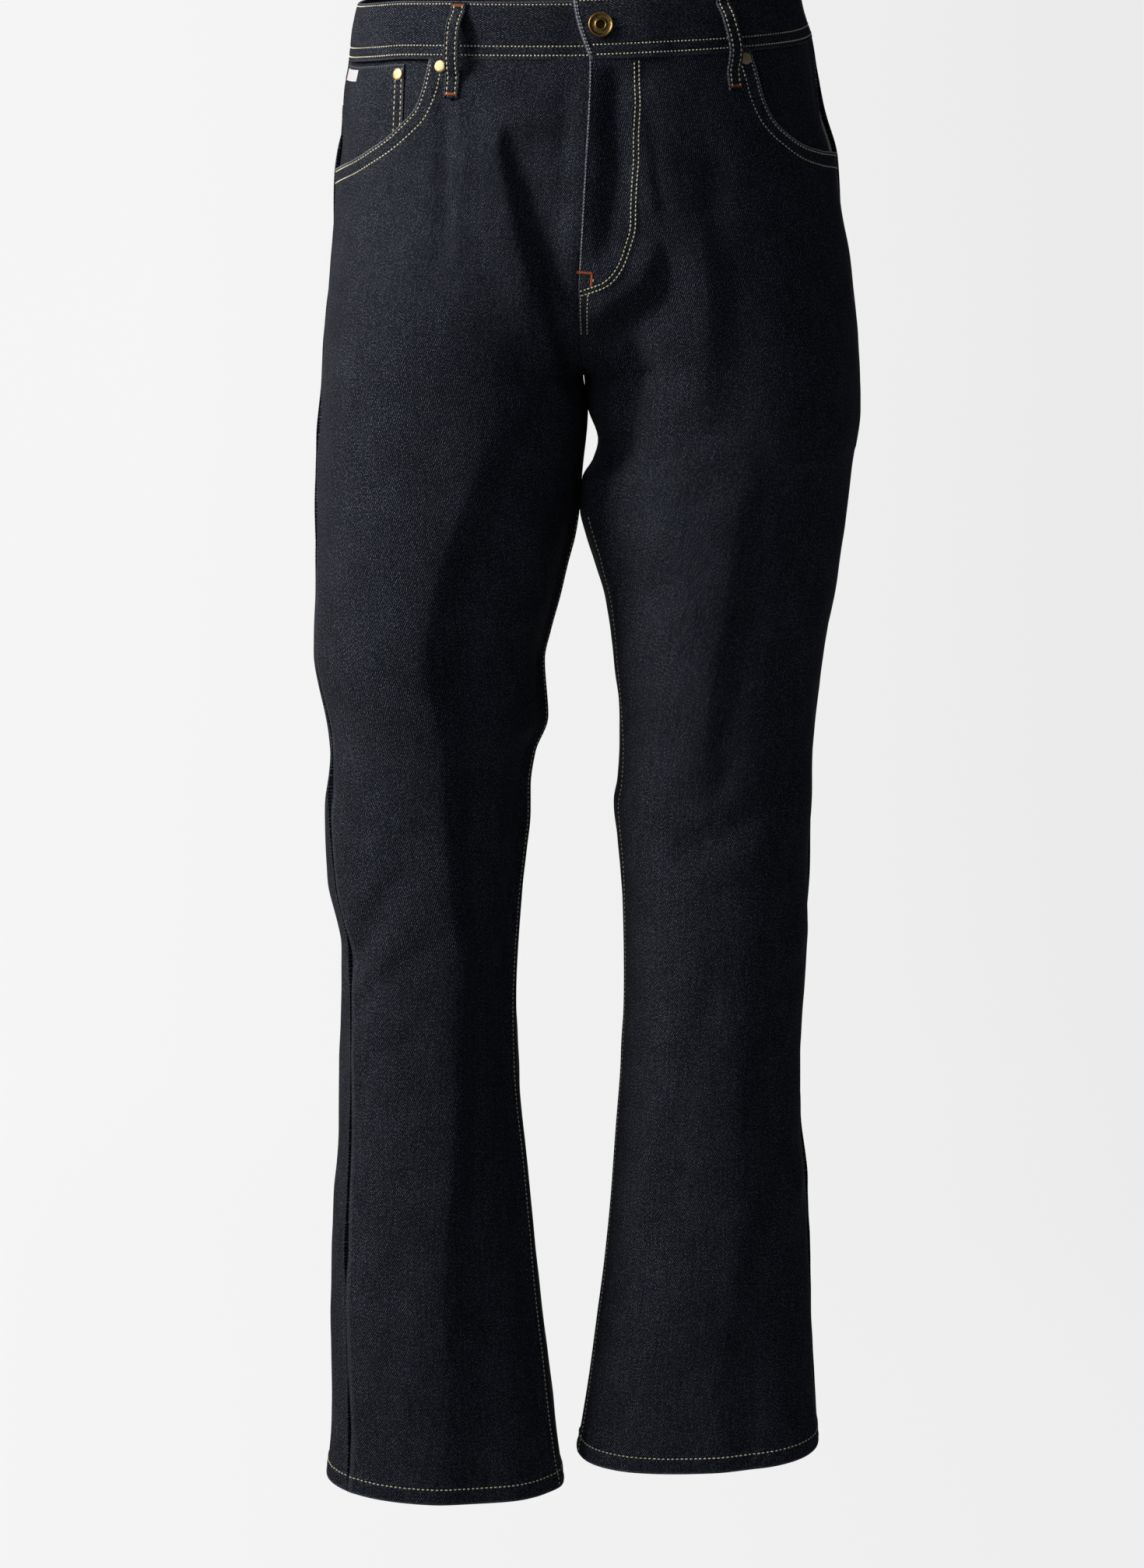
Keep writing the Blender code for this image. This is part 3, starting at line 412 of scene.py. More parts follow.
# Rows of stitches, by their distance from the edge or seam that they follow
FELL_ROWS = (1.8, 8.3)  # from the yoke seam and the centre back
PATCH_ROWS = (1.8, 8.0)  # from a back pocket's sides
PATCH_HEM_ROWS = (1.8, 12.0)  # from its top
MOUTH_ROWS = (2.4, 11.0)  # from the folded edge
BAND_ROWS = (2.2, 31.2, 37.7)
HEM_ROW = 12.0  # above the finished edge
INSEAM_ROW = 6.5
INSEAM_START = 376.0  # the inseams' row is hidden in the fold above this
FLY_ROWS = (-1.6, 1.6)  # either side of the curve
FLY_FOOT_ROWS = (1.8, 7.4)  # from the rise seam below the fly
FLY_TOP, FLY_END = 42.0, 216.0  # drops between which the curve runs
FLY_STITCH_COLUMNS = ("drop", "reach")
FLY_STITCH = (
    (42, 198.0),
    (73, 206.0),
    (130, 228.0),
    (152, 234.0),
    (166, 238.0),
    (183, 247.0),
    (197, 256.0),
    (208, 268.0),
    (216, 290.0),
)
COIN_ROWS = (1.8, 7.6)  # from the coin pocket's inner side

# Waistband
TUCK = 3.0  # how far fronts and yokes run up into the waistband
BEHIND = 4.5  # and facings and the fly shield behind it
BAND_PROUD, BAND_DEPTH = 1.0, 1.6  # its faces, outside and inside the form
LAP = 1.6  # how far the upper end stands out over the lower one
LAP_START, LAP_END = 58.0, 40.0  # across, where the upper end starts and has finished stepping out
LAP_SLANT = 9.5  # how much further the upper end reaches at its top corner
LAP_RAISE = 2.4  # and how much higher that corner stands
UNDERLAP = 36.0  # how far the lower end runs on under the upper one
UNDERLAP_SINK = 1.8
UNDERLAP_START, UNDERLAP_END = -28.0, -6.0
UPPER_END = 4  # the number of that part of the strip

# Fly
FLY_RISE = 1.1  # the left front is double along the fly
FLY_LIFT = 2.6  # and its free edge stands off by this
FLY_EASE = 6.0
SHIELD_DROP = 214.0
SHIELD_LEFT, SHIELD_RIGHT = 34.0, 20.0  # how far it runs behind each front

# Front pocket facings and the coin pocket
FACING_SHALLOW, FACING_DEEP = 2.1, 3.5  # outer face below the form, at the outseam and further in
FACING_EASE = 26.0  # reach over which it goes deep
FACING_DEEP_DROP = (60.0, 108.0)  # and the drops between which it goes deep at the outseam
FACING_PAST = 34.0  # how far it runs behind the front
FACING_BOTTOM = 156.0
COIN_TOP = 44.0
COIN_OUTER, COIN_INNER = 6.0, 103.0  # reach of its two sides
COIN_BOTTOM = 138.0
CREASE_REACH = 86.0  # a crease down the coin pocket
TAB_REACH, TAB_WIDTH = 12.0, 32.0
TAB_TOP, TAB_HEIGHT = 46.5, 8.5
TAB_GAP, TAB_WALL = 0.4, 0.5

# Back patch pockets, measured from the centre-back seam and from their own top edge
PATCH_FROM_CENTRE = 88.0
PATCH_TOP = 107.0
PATCH_TOP_SLOPE = 0.10  # the outer end sits higher
PATCH_TOP_HALF, PATCH_BOTTOM_HALF = 78.0, 67.0
PATCH_SIDE, PATCH_POINT = 130.0, 20.0
PATCH_GAP = 1.4

# Belt loops: name, leg, then the reach of the middle line at the top and bottom. The one at the back
# lies on the centre seam.
LOOPS = (
    ("front_right", "right", 138.5, 144.0),
    ("front_left", "left", 122.0, 133.5),
    ("side_right", "right", -128.0, -130.0),
    ("side_left", "left", -128.0, -130.0),
    ("back", "left", 0.0, 0.0),
)
LOOP_WIDTH, LOOP_WALL = 11.0, 2.0
LOOP_ROW = 3.1  # rows of stitches either side of a loop's middle
# Height off the form down the loop
LOOP_LIFT_COLUMNS = ("drop", "lift")
LOOP_LIFT = (
    (1.0, 1.4),
    (7.0, 1.4),
    (12.0, 4.6),
    (19.0, 8.0),
    (29.0, 9.0),
    (39.0, 8.4),
    (48.0, 5.2),
    (55.0, 1.2),
    (69.0, 0.8),
)

# Button, rivets and the button's tack: profiles are radius and height from the cloth
BUTTON_ACROSS, BUTTON_DROP = 9.0, 17.5
BUTTON_PROFILE = (
    (3.1, 0.6), (3.1, 2.2), (3.15, 2.6), (3.35, 2.85), (3.65, 2.9), (3.95, 2.7), (4.15, 2.4), (4.5, 2.28),
    (5.3, 2.24), (6.2, 2.26), (7.0, 2.4), (7.4, 2.75), (7.8, 3.05), (8.15, 3.05), (8.5, 2.7), (8.75, 2.1),
    (8.7, 1.5), (8.3, 1.0), (6.0, 0.2), (6.0, 0.0), (3.1, 0.0),
)
# Rivets: name, leg, reach, drop, and whether it sits on the coin pocket
RIVETS = (
    ("pocket_right", "right", 131.0, 46.1, False),
    ("pocket_left", "left", 118.0, 46.1, False),
    ("coin_pocket", "right", 95.0, 51.2, True),
)
RIVET_PROFILE = (
    (0.0, 1.22), (1.2, 1.2), (2.4, 1.14), (3.3, 1.04), (3.9, 0.88), (4.25, 0.66), (4.45, 0.36), (4.5, 0.0),
    (0.0, 0.0),
)
TACK_PROFILE = ((0.0, 0.5), (1.4, 0.45), (2.6, 0.4), (3.0, 0.3), (3.0, 0.1), (0.0, 0.1))

# Looks
WALE_PITCH = 1.25  # between the twill's wales
WALE_SLOPE = 60.0  # their angle from the weft, in degrees
PAPER_GLOW = 0.90  # the paper's painted glow straight behind the garment, where a lamp on the backdrop would light it
WALL_GLOW = 0.06  # and its dim painted glow all round
FLOOR_FLAT, FLOOR_CURVE = 4600.0, 1400.0  # radius of the flat paper, and of the curve up to the wall
FLOOR_LEVEL, WALL_TOP = -1620.0, 5200.0
SKY = "#D2E0F6"  # the cool light all round, which also tints the paper's painted glow away from behind the garment
CAMERA_PLACE, CAMERA_TILT, CAMERA_LENS = (-0.00852, -3.10, -0.238), 6.2, 97.5  # metres, degrees, mm

# Lights: place and aim in metres, width and height, power, colour
LIGHTS = (
    ("key_softbox", (-1.56, -0.66, 0.66), (0.0, 0.0, -0.25), 0.6, 0.9, 40.0, "#FFF6EE"),
    ("front_fill", (-1.0, -2.4, 0.6), (0.0, 0.0, -0.3), 1.2, 1.2, 6.4, "#F4F7FF"),
    ("rear_softbox", (0.3, 2.5, 0.5), (0.0, 0.0, -0.5), 1.0, 1.4, 9.0, "#FFFFFF"),
)


def monotone_curve(x, y):
    """Cubic pieces through the points that never overshoot them: each slope is a mean of its neighbours'."""
    run = np.diff(x)
    rise = np.diff(y) / run
    slope = np.zeros_like(y)
    slope[0], slope[-1] = rise[0], rise[-1]
    same_way = rise[:-1] * rise[1:] > 0
    near, far = 2 * run[1:] + run[:-1], run[1:] + 2 * run[:-1]
    safe_before = np.where(same_way, rise[:-1], 1.0)
    safe_after = np.where(same_way, rise[1:], 1.0)
    mean = (near + far) / (near / safe_before + far / safe_after)
    slope[1:-1] = np.where(same_way, mean, 0.0)

    def at(value):
        value = np.clip(np.asarray(value, float), x[0], x[-1])
        i = np.clip(np.searchsorted(x, value, side="right") - 1, 0, len(x) - 2)
        t = (value - x[i]) / run[i]
        return (
            (1 + 2 * t) * (1 - t) ** 2 * y[i]
            + t * (1 - t) ** 2 * run[i] * slope[i]
            + t**2 * (3 - 2 * t) * y[i + 1]
            + t**2 * (t - 1) * run[i] * slope[i + 1]
        )

    return at


def curves_of(columns, rows):
    """A table's columns as smooth functions of its first one."""
    first = np.array([row[0] for row in rows], float)
    return {
        name: monotone_curve(first, np.array([row[i + 1] for row in rows], float))
        for i, name in enumerate(columns[1:])
    }


OUTLINE_AT = curves_of(OUTLINE_COLUMNS, OUTLINE)
INSIDE_AT = curves_of(INSIDE_COLUMNS, INSIDE)
DEPTH_AT = curves_of(DEPTH_COLUMNS, DEPTH)
JOIN_AT = curves_of(JOIN_COLUMNS, JOIN)["join"]
SEAM_AT = curves_of(SEAM_COLUMNS, SEAMS)
MOUTH_AT = curves_of(MOUTH_COLUMNS, MOUTH)
LEAN_AT = curves_of(("drop", "lean"), CENTRE_LEAN)["lean"]
WAVE_AT = curves_of(WAIST_WAVE_COLUMNS, WAIST_WAVE)["wave"]
LIFT_AT = curves_of(LOOP_LIFT_COLUMNS, LOOP_LIFT)["lift"]
FLY_AT = curves_of(FLY_STITCH_COLUMNS, FLY_STITCH)["reach"]
STANCE_OF = {row[0]: dict(zip(STANCE_COLUMNS[1:], row[1:])) for row in STANCE}
SIDE = {"right": -1.0, "left": 1.0}
SQUARE = {"front": FRONT_SQUARE, "back": BACK_SQUARE}
FACE_SIGN = {"front": 1.0, "back": -1.0}


def ease(value):
    """0 below 0, 1 above 1, and a smooth step between."""
    value = np.clip(value, 0.0, 1.0)
    return value * value * (3 - 2 * value)


def bell(distance, middle, width):
    return np.exp(-(((distance - middle) / width) ** 2))


def signed_power(value, exponent):
    return np.sign(value) * np.abs(value) ** exponent


def unit(vectors):
    return vectors / np.linalg.norm(vectors, axis=-1, keepdims=True)


def run_of(points):
    """The run along a line of points up to each."""
    return np.concatenate([[0.0], np.cumsum(np.linalg.norm(np.diff(points, axis=0), axis=1))])


def leg_oval(leg, drop):
    """Centre and half-width, across, of the oval whose outer part is this half's section."""
    outer = OUTLINE_AT[leg](drop)
    inner = np.where(drop < CROTCH_DROP, -outer * JOIN_AT(drop), INSIDE_AT[leg](drop))
    return (outer + inner) / 2, (outer - inner) / 2


def plain_form(leg, turn, drop):
    """The body without folds: a superellipse for each drop, then the tilt of waist and hem."""
    turn, drop = np.broadcast_arrays(np.asarray(turn, float), np.asarray(drop, float))
    centre, half = leg_oval(leg, drop)
    c, s = np.cos(turn), np.sin(turn)
    power = np.where(s >= 0, 2 / FRONT_SQUARE, 2 / BACK_SQUARE)
    widest = DEPTH_AT["widest"](drop)
    depth = np.where(s >= 0, DEPTH_AT["front"](drop) + widest, DEPTH_AT["back"](drop) - widest)
    across = centre + half * signed_power(c, power)
    y = widest - depth * signed_power(s, power)
    x = SIDE[leg] * across
    stance = STANCE_OF[leg]
    torso = ease((CROTCH_DROP - drop) / CROTCH_DROP)
    lower = ease((drop - CROTCH_DROP) / (HEM_DROP - CROTCH_DROP))
    tilt = stance["hem_lift"] + stance["hem_tilt_out"] * (across - centre)
    tilt = tilt + stance["hem_tilt_back"] * (y - widest)
    z = -drop + torso * (WAIST_LIST * x + WAIST_DIP * y) + lower * tilt
    z = z + WAVE_AT(x) * ease(-y / WAVE_REACH) * (1 - ease((drop - BAND_DROP) / WAVE_FADE))
    lean = LEAN_AT(drop) * bell(x, 0, LEAN_REACH) * ease(-y / LEAN_REACH)
    x = x + np.where(drop < CROTCH_DROP, lean, 0.0)
    return np.stack([x, y + lower * stance["stride"], z], axis=-1)


def turn_at(leg, face, across, drop):
    """The turn at which the section reaches a distance from the centre plane."""
    centre, half = leg_oval(leg, drop)
    share = np.clip((across - centre) / half, -1.0, 1.0)
    return FACE_SIGN[face] * np.arccos(signed_power(share, SQUARE[face] / 2))


def inner_turn(leg, face, drop):
    """The turn of a panel's inner edge: its rise seam above the crotch, its inseam below."""
    above = turn_at(leg, face, SEAM_MEET / 2, drop)
    inseam = np.radians(SEAM_AT[leg + "_inseam"](drop))
    return np.where(drop < CROTCH_DROP, above, FACE_SIGN[face] * math.pi - inseam)


class ClothMap:
    """For one front or back: the turn of each point, given its reach and drop, and the panel's width."""

    DROP_STEP = 3.0
    SHARES = 200
    SAMPLES = 500

    def __init__(self, leg, face):
        self.leg = leg
        self.face = face
        self.drops = np.arange(0.0, HEM_DROP + self.DROP_STEP, self.DROP_STEP)
        self.widths = np.zeros(len(self.drops))
        self.turns = np.zeros((len(self.drops), self.SHARES + 1))
        shares = np.linspace(0, 1, self.SHARES + 1)
        for i, drop in enumerate(self.drops):
            outer = np.radians(SEAM_AT[leg + "_outseam"](drop))
            turns = np.linspace(outer, inner_turn(leg, face, drop), self.SAMPLES)
            length = run_of(plain_form(leg, turns, np.full(self.SAMPLES, drop)))
            self.widths[i] = length[-1]
            self.turns[i] = np.interp(shares * length[-1], length, turns)

    def width(self, drop):
        return np.interp(drop, self.drops, self.widths)

    def turn(self, reach, drop):
        """Read between the table's levels and shares."""
        reach, drop = np.broadcast_arrays(np.asarray(reach, float), np.asarray(drop, float))
        row = np.clip(drop / self.DROP_STEP, 0, len(self.drops) - 1.000001)
        column = np.clip(np.abs(reach) / self.width(drop), 0, 1) * self.SHARES
        column = np.minimum(column, self.SHARES - 0.000001)
        i, j = row.astype(int), column.astype(int)
        a, b = row - i, column - j
        upper = self.turns[i, j] * (1 - b) + self.turns[i, j + 1] * b
        lower = self.turns[i + 1, j] * (1 - b) + self.turns[i + 1, j + 1] * b
        return upper * (1 - a) + lower * a

    def plain(self, reach, drop):
        return plain_form(self.leg, self.turn(reach, drop), drop)

    def normal(self, reach, drop):
        """Outward unit normal of the plain form, from its slopes along and down the cloth."""
        along = self.plain(reach + FINE_STEP, drop) - self.plain(reach - FINE_STEP, drop)
        down = self.plain(reach, drop + FINE_STEP) - self.plain(reach, drop - FINE_STEP)
        return unit(np.cross(along, down) * SIDE[self.leg])

    def layers(self, reach, drop, *rises):
        """Points of the cloth, folds included, moved out by each rise in turn."""
        reach, drop = np.broadcast_arrays(np.asarray(reach, float), np.asarray(drop, float))
        plain, normal = self.plain(reach, drop), self.normal(reach, drop)
        folds = fold_rise(self, reach, drop) + lump_rise(self, reach, drop)
        return [plain + normal * (folds + rise)[..., None] for rise in rises]


def calmed(rise, cloth, reach, drop):
    """A rise that dies away beside the inner seams and below the waistband."""
    inner = ease((cloth.width(drop) - np.abs(reach)) / SEAM_CALM)
    return rise * inner * ease((drop - BAND_DROP) / TOP_CALM)


def fold_rise(cloth, reach, drop):
    """The sum of the folds: each is a bell across its bowed line with a lower bell of the other sign, its
    lip, beside it, fading past both ends."""
    total = np.zeros_like(reach)
    for row in FOLDS:
        fold = dict(zip(FOLD_COLUMNS, row))
        if fold["leg"] != cloth.leg:
            continue
        run = fold["reach_2"] - fold["reach_1"]
        fall = fold["drop_2"] - fold["drop_1"]
        length = math.hypot(run, fall)
        u, v = reach - fold["reach_1"], drop - fold["drop_1"]
        along = (u * run + v * fall) / length**2
        t = np.clip(along, 0, 1)
        aside = (u * fall - v * run) / length - fold["bow"] * 4 * t * (1 - t)
        width = fold["width_1"] + (fold["width_2"] - fold["width_1"]) * t
        rise = fold["rise_1"] + (fold["rise_2"] - fold["rise_1"]) * t
        past = (along - t) * length
        side = math.copysign(1.9, fold["lip"])
        section = bell(aside / width, 0, 1) - abs(fold["lip"]) * bell(aside / width, side, 1)
        total = total + rise * section * bell(past, 0, width)
    if cloth.face == "front":
        total = total + drape_rise(cloth.leg, reach, drop)
    return calmed(total, cloth, reach, drop) * np.where(drop < MOUTH_END, 1.0, ease((np.abs(reach) + 4) / 10))


def beside(reach, drop, line_reach, line_drop):
    """Shortest distance to a line of points, plus towards the centre of one that falls, and the place along
    it, in points, where the shortest distance ends."""
    nearest = np.full(reach.shape, 1e9)
    signed, place = np.zeros(reach.shape), np.zeros(reach.shape)
    for i, (a, b, c, d) in enumerate(zip(line_reach[:-1], line_drop[:-1], line_reach[1:], line_drop[1:])):
        length = math.hypot(c - a, d - b)
        along = np.clip(((reach - a) * (c - a) + (drop - b) * (d - b)) / length**2, 0, 1)
        away = np.hypot(reach - a - along * (c - a), drop - b - along * (d - b))
        turned = (reach - a) * (d - b) - (drop - b) * (c - a)
        closer = away < nearest
        signed = np.where(closer, away * np.where(turned < 0, -1.0, 1.0), signed)
        place = np.where(closer, i + along, place)
        nearest = np.minimum(nearest, away)
    return signed, place


def drape_rise(leg, reach, drop):
    """The sum of a front's drapes. From the crest: a straight wall with rounded ends, then an exponential
    way back, and a low ridge along the crest that is broad behind it."""
    total = np.zeros(reach.shape)
    for name, side, back, stations in DRAPES:
        if name != leg:
            continue
        table = np.array(stations, float)
        place = np.arange(len(table), dtype=float)
        fine = np.linspace(0, place[-1], 6 * (len(table) - 1) + 1)
        line_reach, line_drop, depth, wall = (monotone_curve(place, column)(fine) for column in table.T)
        near = (drop > table[:, 1].min() - 60) & (drop < table[:, 1].max() + 60)
        away, at = beside(reach[near], drop[near], line_reach, line_drop)
        depth, wall = np.interp(at / 6, fine, depth), np.interp(at / 6, fine, wall)
        t = away * side / wall
        ramp = (np.sqrt(t**2 + 0.02) - np.sqrt((t - 1) ** 2 + 0.02) + 1) / 2
        past = (t - 1) * wall / back
        fall = ramp * np.exp(-(past + np.sqrt(past**2 + 0.01)) / 2)
        ridge = DRAPE_LIP * np.exp(-((t / np.where(t < 0, 1.6, 0.5)) ** 2))
        total[near] += depth * (ridge - fall)
    return total


def lumps(reach, drop, cell, seed):
    """Smooth noise between -1 and 1: random heights on a square lattice, eased from cell to cell."""
    lattice = np.random.default_rng(seed).uniform(-1, 1, (64, 64))
    x, y = reach / cell + 20, drop / cell + 3
    i, j = np.floor(x).astype(int), np.floor(y).astype(int)
    a, b = ease(x - i), ease(y - j)
    upper = lattice[i % 64, j % 64] * (1 - a) + lattice[(i + 1) % 64, j % 64] * a
    lower = lattice[i % 64, (j + 1) % 64] * (1 - a) + lattice[(i + 1) % 64, (j + 1) % 64] * a
    return upper * (1 - b) + lower * b


def lump_rise(cloth, reach, drop):
    """Three sizes of lumps, other ones on each leg."""
    total = np.zeros_like(reach)
    for cell, height, seed in LUMPS:
        total = total + height * lumps(reach, drop, cell, seed + (20 if cloth.leg == "left" else 0))
    return calmed(total, cloth, reach, drop)


CLOTH = {(leg, face): ClothMap(leg, face) for leg in SIDE for face in FACE_SIGN}


def rounded(distance):
    """A rim's half-round section: 0 on the edge and 1 from its radius inwards."""
    return np.sqrt(1 - (1 - np.clip(distance / RIM, 0, 1)) ** 2)


def distance_within(near, far, reach, drop, line):
    """Shortest distance on the cloth to a line, and one far value away from it."""
    away = np.full(reach.shape, far)
    away[near] = np.abs(beside(reach[near], drop[near], *line)[0])
    return away


def mouth_line(leg):
    """The folded pocket edge as a line of close points, from the waistband down to the outseam."""
    drops = np.concatenate([np.linspace(20.0, 110.0, 46), np.linspace(111.0, MOUTH_END, 45)])
    reach = MOUTH_AT[leg](np.maximum(drops, BAND_DROP))
    return reach, drops


def fly_line():
    """The fly's stitched curve as a line of close points."""
    drops = np.concatenate([np.linspace(FLY_TOP, 190, 75), np.linspace(191, FLY_END, 60)])
    return FLY_AT(drops), drops


def fly_distance(reach, drop):
    return distance_within((reach > 150) & (drop < 240), 50.0, reach, drop, fly_line())


def fly_rise(reach, drop):
    """The left front's extra layer inside the stitched curve of the fly."""
    outside = np.where(reach < FLY_AT(np.clip(drop, FLY_TOP, FLY_END)), 1.0, -1.0) * fly_distance(reach, drop)
    below = ease((drop - FLY_END) / 3)
    return FLY_RISE * ease((FLY_EASE / 2 + 2.0 - outside) / FLY_EASE) * (1 - below)


def fly_lift(leg, reach, drop):
    """How far the left front's free edge stands off the cloth below it."""
    if leg == "right":
        return np.zeros(reach.shape)
    from_edge = CLOTH["left", "front"].width(drop) - reach
    along = ease((drop - BAND_DROP + TUCK) / 10) * (1 - ease((drop - 150) / 44))
    return FLY_LIFT * np.exp(-np.maximum(from_edge, 0) / 9) * along


def hem_share(drop):
    """1 in the turned-up hem and 0 above it."""
    return ease((drop - HEM_DROP + HEM_DEPTH + 2) / 2)


def hem_rise(reach, drop):
    """The turned-up hem: proud, roped along its slant by the pull of its stitching, pinched at the row."""
    up = HEM_DROP - drop
    rope = np.sin((reach * 0.86 + up * 0.8 + 2.0 * lumps(reach, drop, 14.0, 71)) * math.tau / 9.5)
    slow = 0.5 + 0.5 * lumps(reach, drop, 37.0, 72)
    relief = 0.34 * rope * slow * ease(up / 2) * ease((HEM_DEPTH + 5 - up) / 7)
    return HEM_EXTRA * hem_share(drop) + relief - 0.35 * bell(up, HEM_ROW, 0.9)


def facing_sink(reach, drop):
    """How far the pocket facing's outer face lies below the form."""
    inward = ease(reach / FACING_EASE)
    top, bottom = FACING_DEEP_DROP
    deep = np.maximum(inward, ease((drop - top) / (bottom - top)))
    beside_seam = (1 - ease(reach / 14)) * (1 - ease((drop - 90) / 20))
    return FACING_SHALLOW + (FACING_DEEP - FACING_SHALLOW) * deep - 1.9 * beside_seam


def coin_rise(reach, drop):
    """The coin pocket's outer face, from the form."""
    return SEAM_GAP + WALL - facing_sink(reach, drop)


def mouth_relief(leg, reach, drop):
    """Beside the folded pocket edge: a roll, then a stitched band that puffs up between its two rows."""
    near = (drop < MOUTH_END + 30) & (reach < 155)
    away = distance_within(near, 60.0, reach, drop, mouth_line(leg))
    inner_row, outer_row = MOUTH_ROWS
    puff = 0.5 * ease((outer_row + 2 - away) / 3) + 0.3 * bell(away, 0.9, 0.8)
    valleys = 0.42 * bell(away, inner_row, 0.75) + 0.5 * bell(away, outer_row, 0.9)
    pucker = 0.16 * np.sin((reach - drop) * math.tau / 7 + 2 * lumps(reach, drop, 9.0, 75))
    return puff - valleys + pucker * bell(away, 6.5, 4), away


def front_rise(leg, reach, drop):
    """The outer face of a front above the form, without its folds, and the distance to its mouth."""
    cloth = CLOTH[leg, "front"]
    relief, mouth_away = mouth_relief(leg, reach, drop)
    from_centre = cloth.width(drop) - reach
    seam = 0.35 * bell(from_centre, 5.0, 4.0) * ease((drop - CROTCH_DROP) / 10)
    seam = seam - 0.25 * bell(from_centre, INSEAM_ROW, 1.0) * ease((drop - CROTCH_DROP) / 10)
    side = 0.55 * bell(reach, 3.2, 3.0) * ease((drop - MOUTH_END) / 12)
    rise = hem_rise(reach, drop) + relief + seam + side + fly_lift(leg, reach, drop)
    if leg == "left":
        rise = rise + fly_rise(reach, drop)
    return rise, mouth_away


def back_rise(leg, reach, drop):
    """The outer face of a back: felled ridges along the yoke seam and the centre back, hem at the end."""
    cloth = CLOTH[leg, "back"]
    width = cloth.width(drop)
    from_centre = width + reach
    share = -reach / width
    below_yoke = drop - yoke_drop(share)
    centre = 0.5 * ease((10 - from_centre) / 3) * (1 - ease((drop - CROTCH_DROP + 4) / 8))
    yoke_band = 0.5 * ease((10 - below_yoke) / 3)
    seam = 0.3 * bell(from_centre, 4.0, 4.0) * ease((drop - CROTCH_DROP) / 10)
    side = 0.35 * bell(-reach, 3.0, 3.0)
    return hem_rise(reach, drop) + np.maximum(centre, yoke_band) + seam + side


def yoke_drop(share):
    return YOKE_SIDE + (YOKE_CENTRE - YOKE_SIDE) * share


def quads_of(ids):
    """The faces between neighbouring rows and columns of a grid of vertex numbers."""
    return np.stack([ids[:-1, :-1], ids[:-1, 1:], ids[1:, 1:], ids[1:, :-1]], axis=-1).reshape(-1, 4)


def signed_volume(points, faces):
    """The volume inside a closed surface of quads, plus where they face out."""
    a, b, c, d = (points[faces[:, k]] for k in range(4))
    return float(np.einsum("ij,ij->i", a, np.cross(b, c) + np.cross(c, d)).sum()) / 6


def new_object(name, points, faces, finishes):
    """A smooth mesh object from points in millimetres."""
    mesh = bpy.data.meshes.new(name)
    mesh.from_pydata((points * MM).tolist(), [], faces)
    mesh.polygons.foreach_set("use_smooth", np.full(len(faces), True))
    for finish in finishes:
        mesh.materials.append(finish)
    mesh.update()
    made = bpy.data.objects.new(name, mesh)
    bpy.context.scene.collection.objects.link(made)
    return made


def wall(name, outer, inner, uv, finishes, marks):
    """One closed wall of cloth from an outer and an inner grid that meet in the outer one's border. Its
    uv is kept in metres, marks are named values per point, and a second finish goes on the inner face."""
    rows, columns = outer.shape[:2]
    ids = np.arange(rows * columns).reshape(rows, columns)
    inner_ids = ids.copy()
    inner_ids[1:-1, 1:-1] = rows * columns + np.arange((rows - 2) * (columns - 2)).reshape(rows - 2, -1)
    core = (slice(1, -1), slice(1, -1))
    points = np.concatenate([outer.reshape(-1, 3), inner[core].reshape(-1, 3)])
    faces = np.concatenate([quads_of(ids), quads_of(inner_ids)[:, ::-1]])
    if signed_volume(points, faces) < 0:
        faces = faces[:, ::-1]
    made = new_object(name, points, faces.tolist(), finishes)
    mesh = made.data
    corner = np.zeros(len(mesh.loops), np.int32)
    mesh.loops.foreach_get("vertex_index", corner)
    place = (np.concatenate([uv.reshape(-1, 2), uv[core].reshape(-1, 2)]) * MM).astype(np.float32)
    mesh.uv_layers.new(name="cloth").data.foreach_set("uv", place[corner].ravel())
    for key, value in marks.items():
        values = np.concatenate([value.ravel(), value[core].ravel()]).astype(np.float32)
        mesh.attributes.new(key, "FLOAT", "POINT").data.foreach_set("value", values)
    if len(finishes) > 1:
        inner_face = np.zeros((2, rows - 1, columns - 1), np.int32)
        inner_face[1, 3:-3, 3:-3] = 1
        mesh.polygons.foreach_set("material_index", inner_face.ravel())
    return made


def cloth_piece(name, outer, inner, uv, node, marks, finishes=None, slot="denim"):
    """A wall that stands for its CAD node, which it hides."""
    made = wall(name, outer, inner, uv, finishes or CLOTH_FINISH, marks)
    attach(made, "root")
    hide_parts(node)


def cloth_uv(leg, reach, drops):
    return np.stack([-SIDE[leg] * reach, drops], axis=-1)


def least(*distances):
    """The distance to the nearest side of a grid, given the distances to each, and 0 on its border."""
    edge = np.maximum(np.minimum.reduce(np.broadcast_arrays(*distances)), 0)
    edge[0], edge[-1], edge[:, 0], edge[:, -1] = 0, 0, 0, 0
    return edge


def spread(length, steps, first=True, last=True):
    """Stops from 0 to a length, evenly spaced but for close ones that round its first and last rim."""
    head = RIM_STOPS if first else np.array([0.0])
    tail = length - RIM_STOPS[::-1] if last else np.array([length])
    middle = np.linspace(head[-1], tail[0], steps + 1)[1:-1]
    return np.concatenate([head, middle, tail])


def hem_rows(levels):
    """The levels above the hem, then close ones down to its edge."""
    close = HEM_DROP - spread(HEM_GRID, 16, last=False)[::-1]
    return np.concatenate([levels[levels < HEM_DROP - HEM_GRID], close])


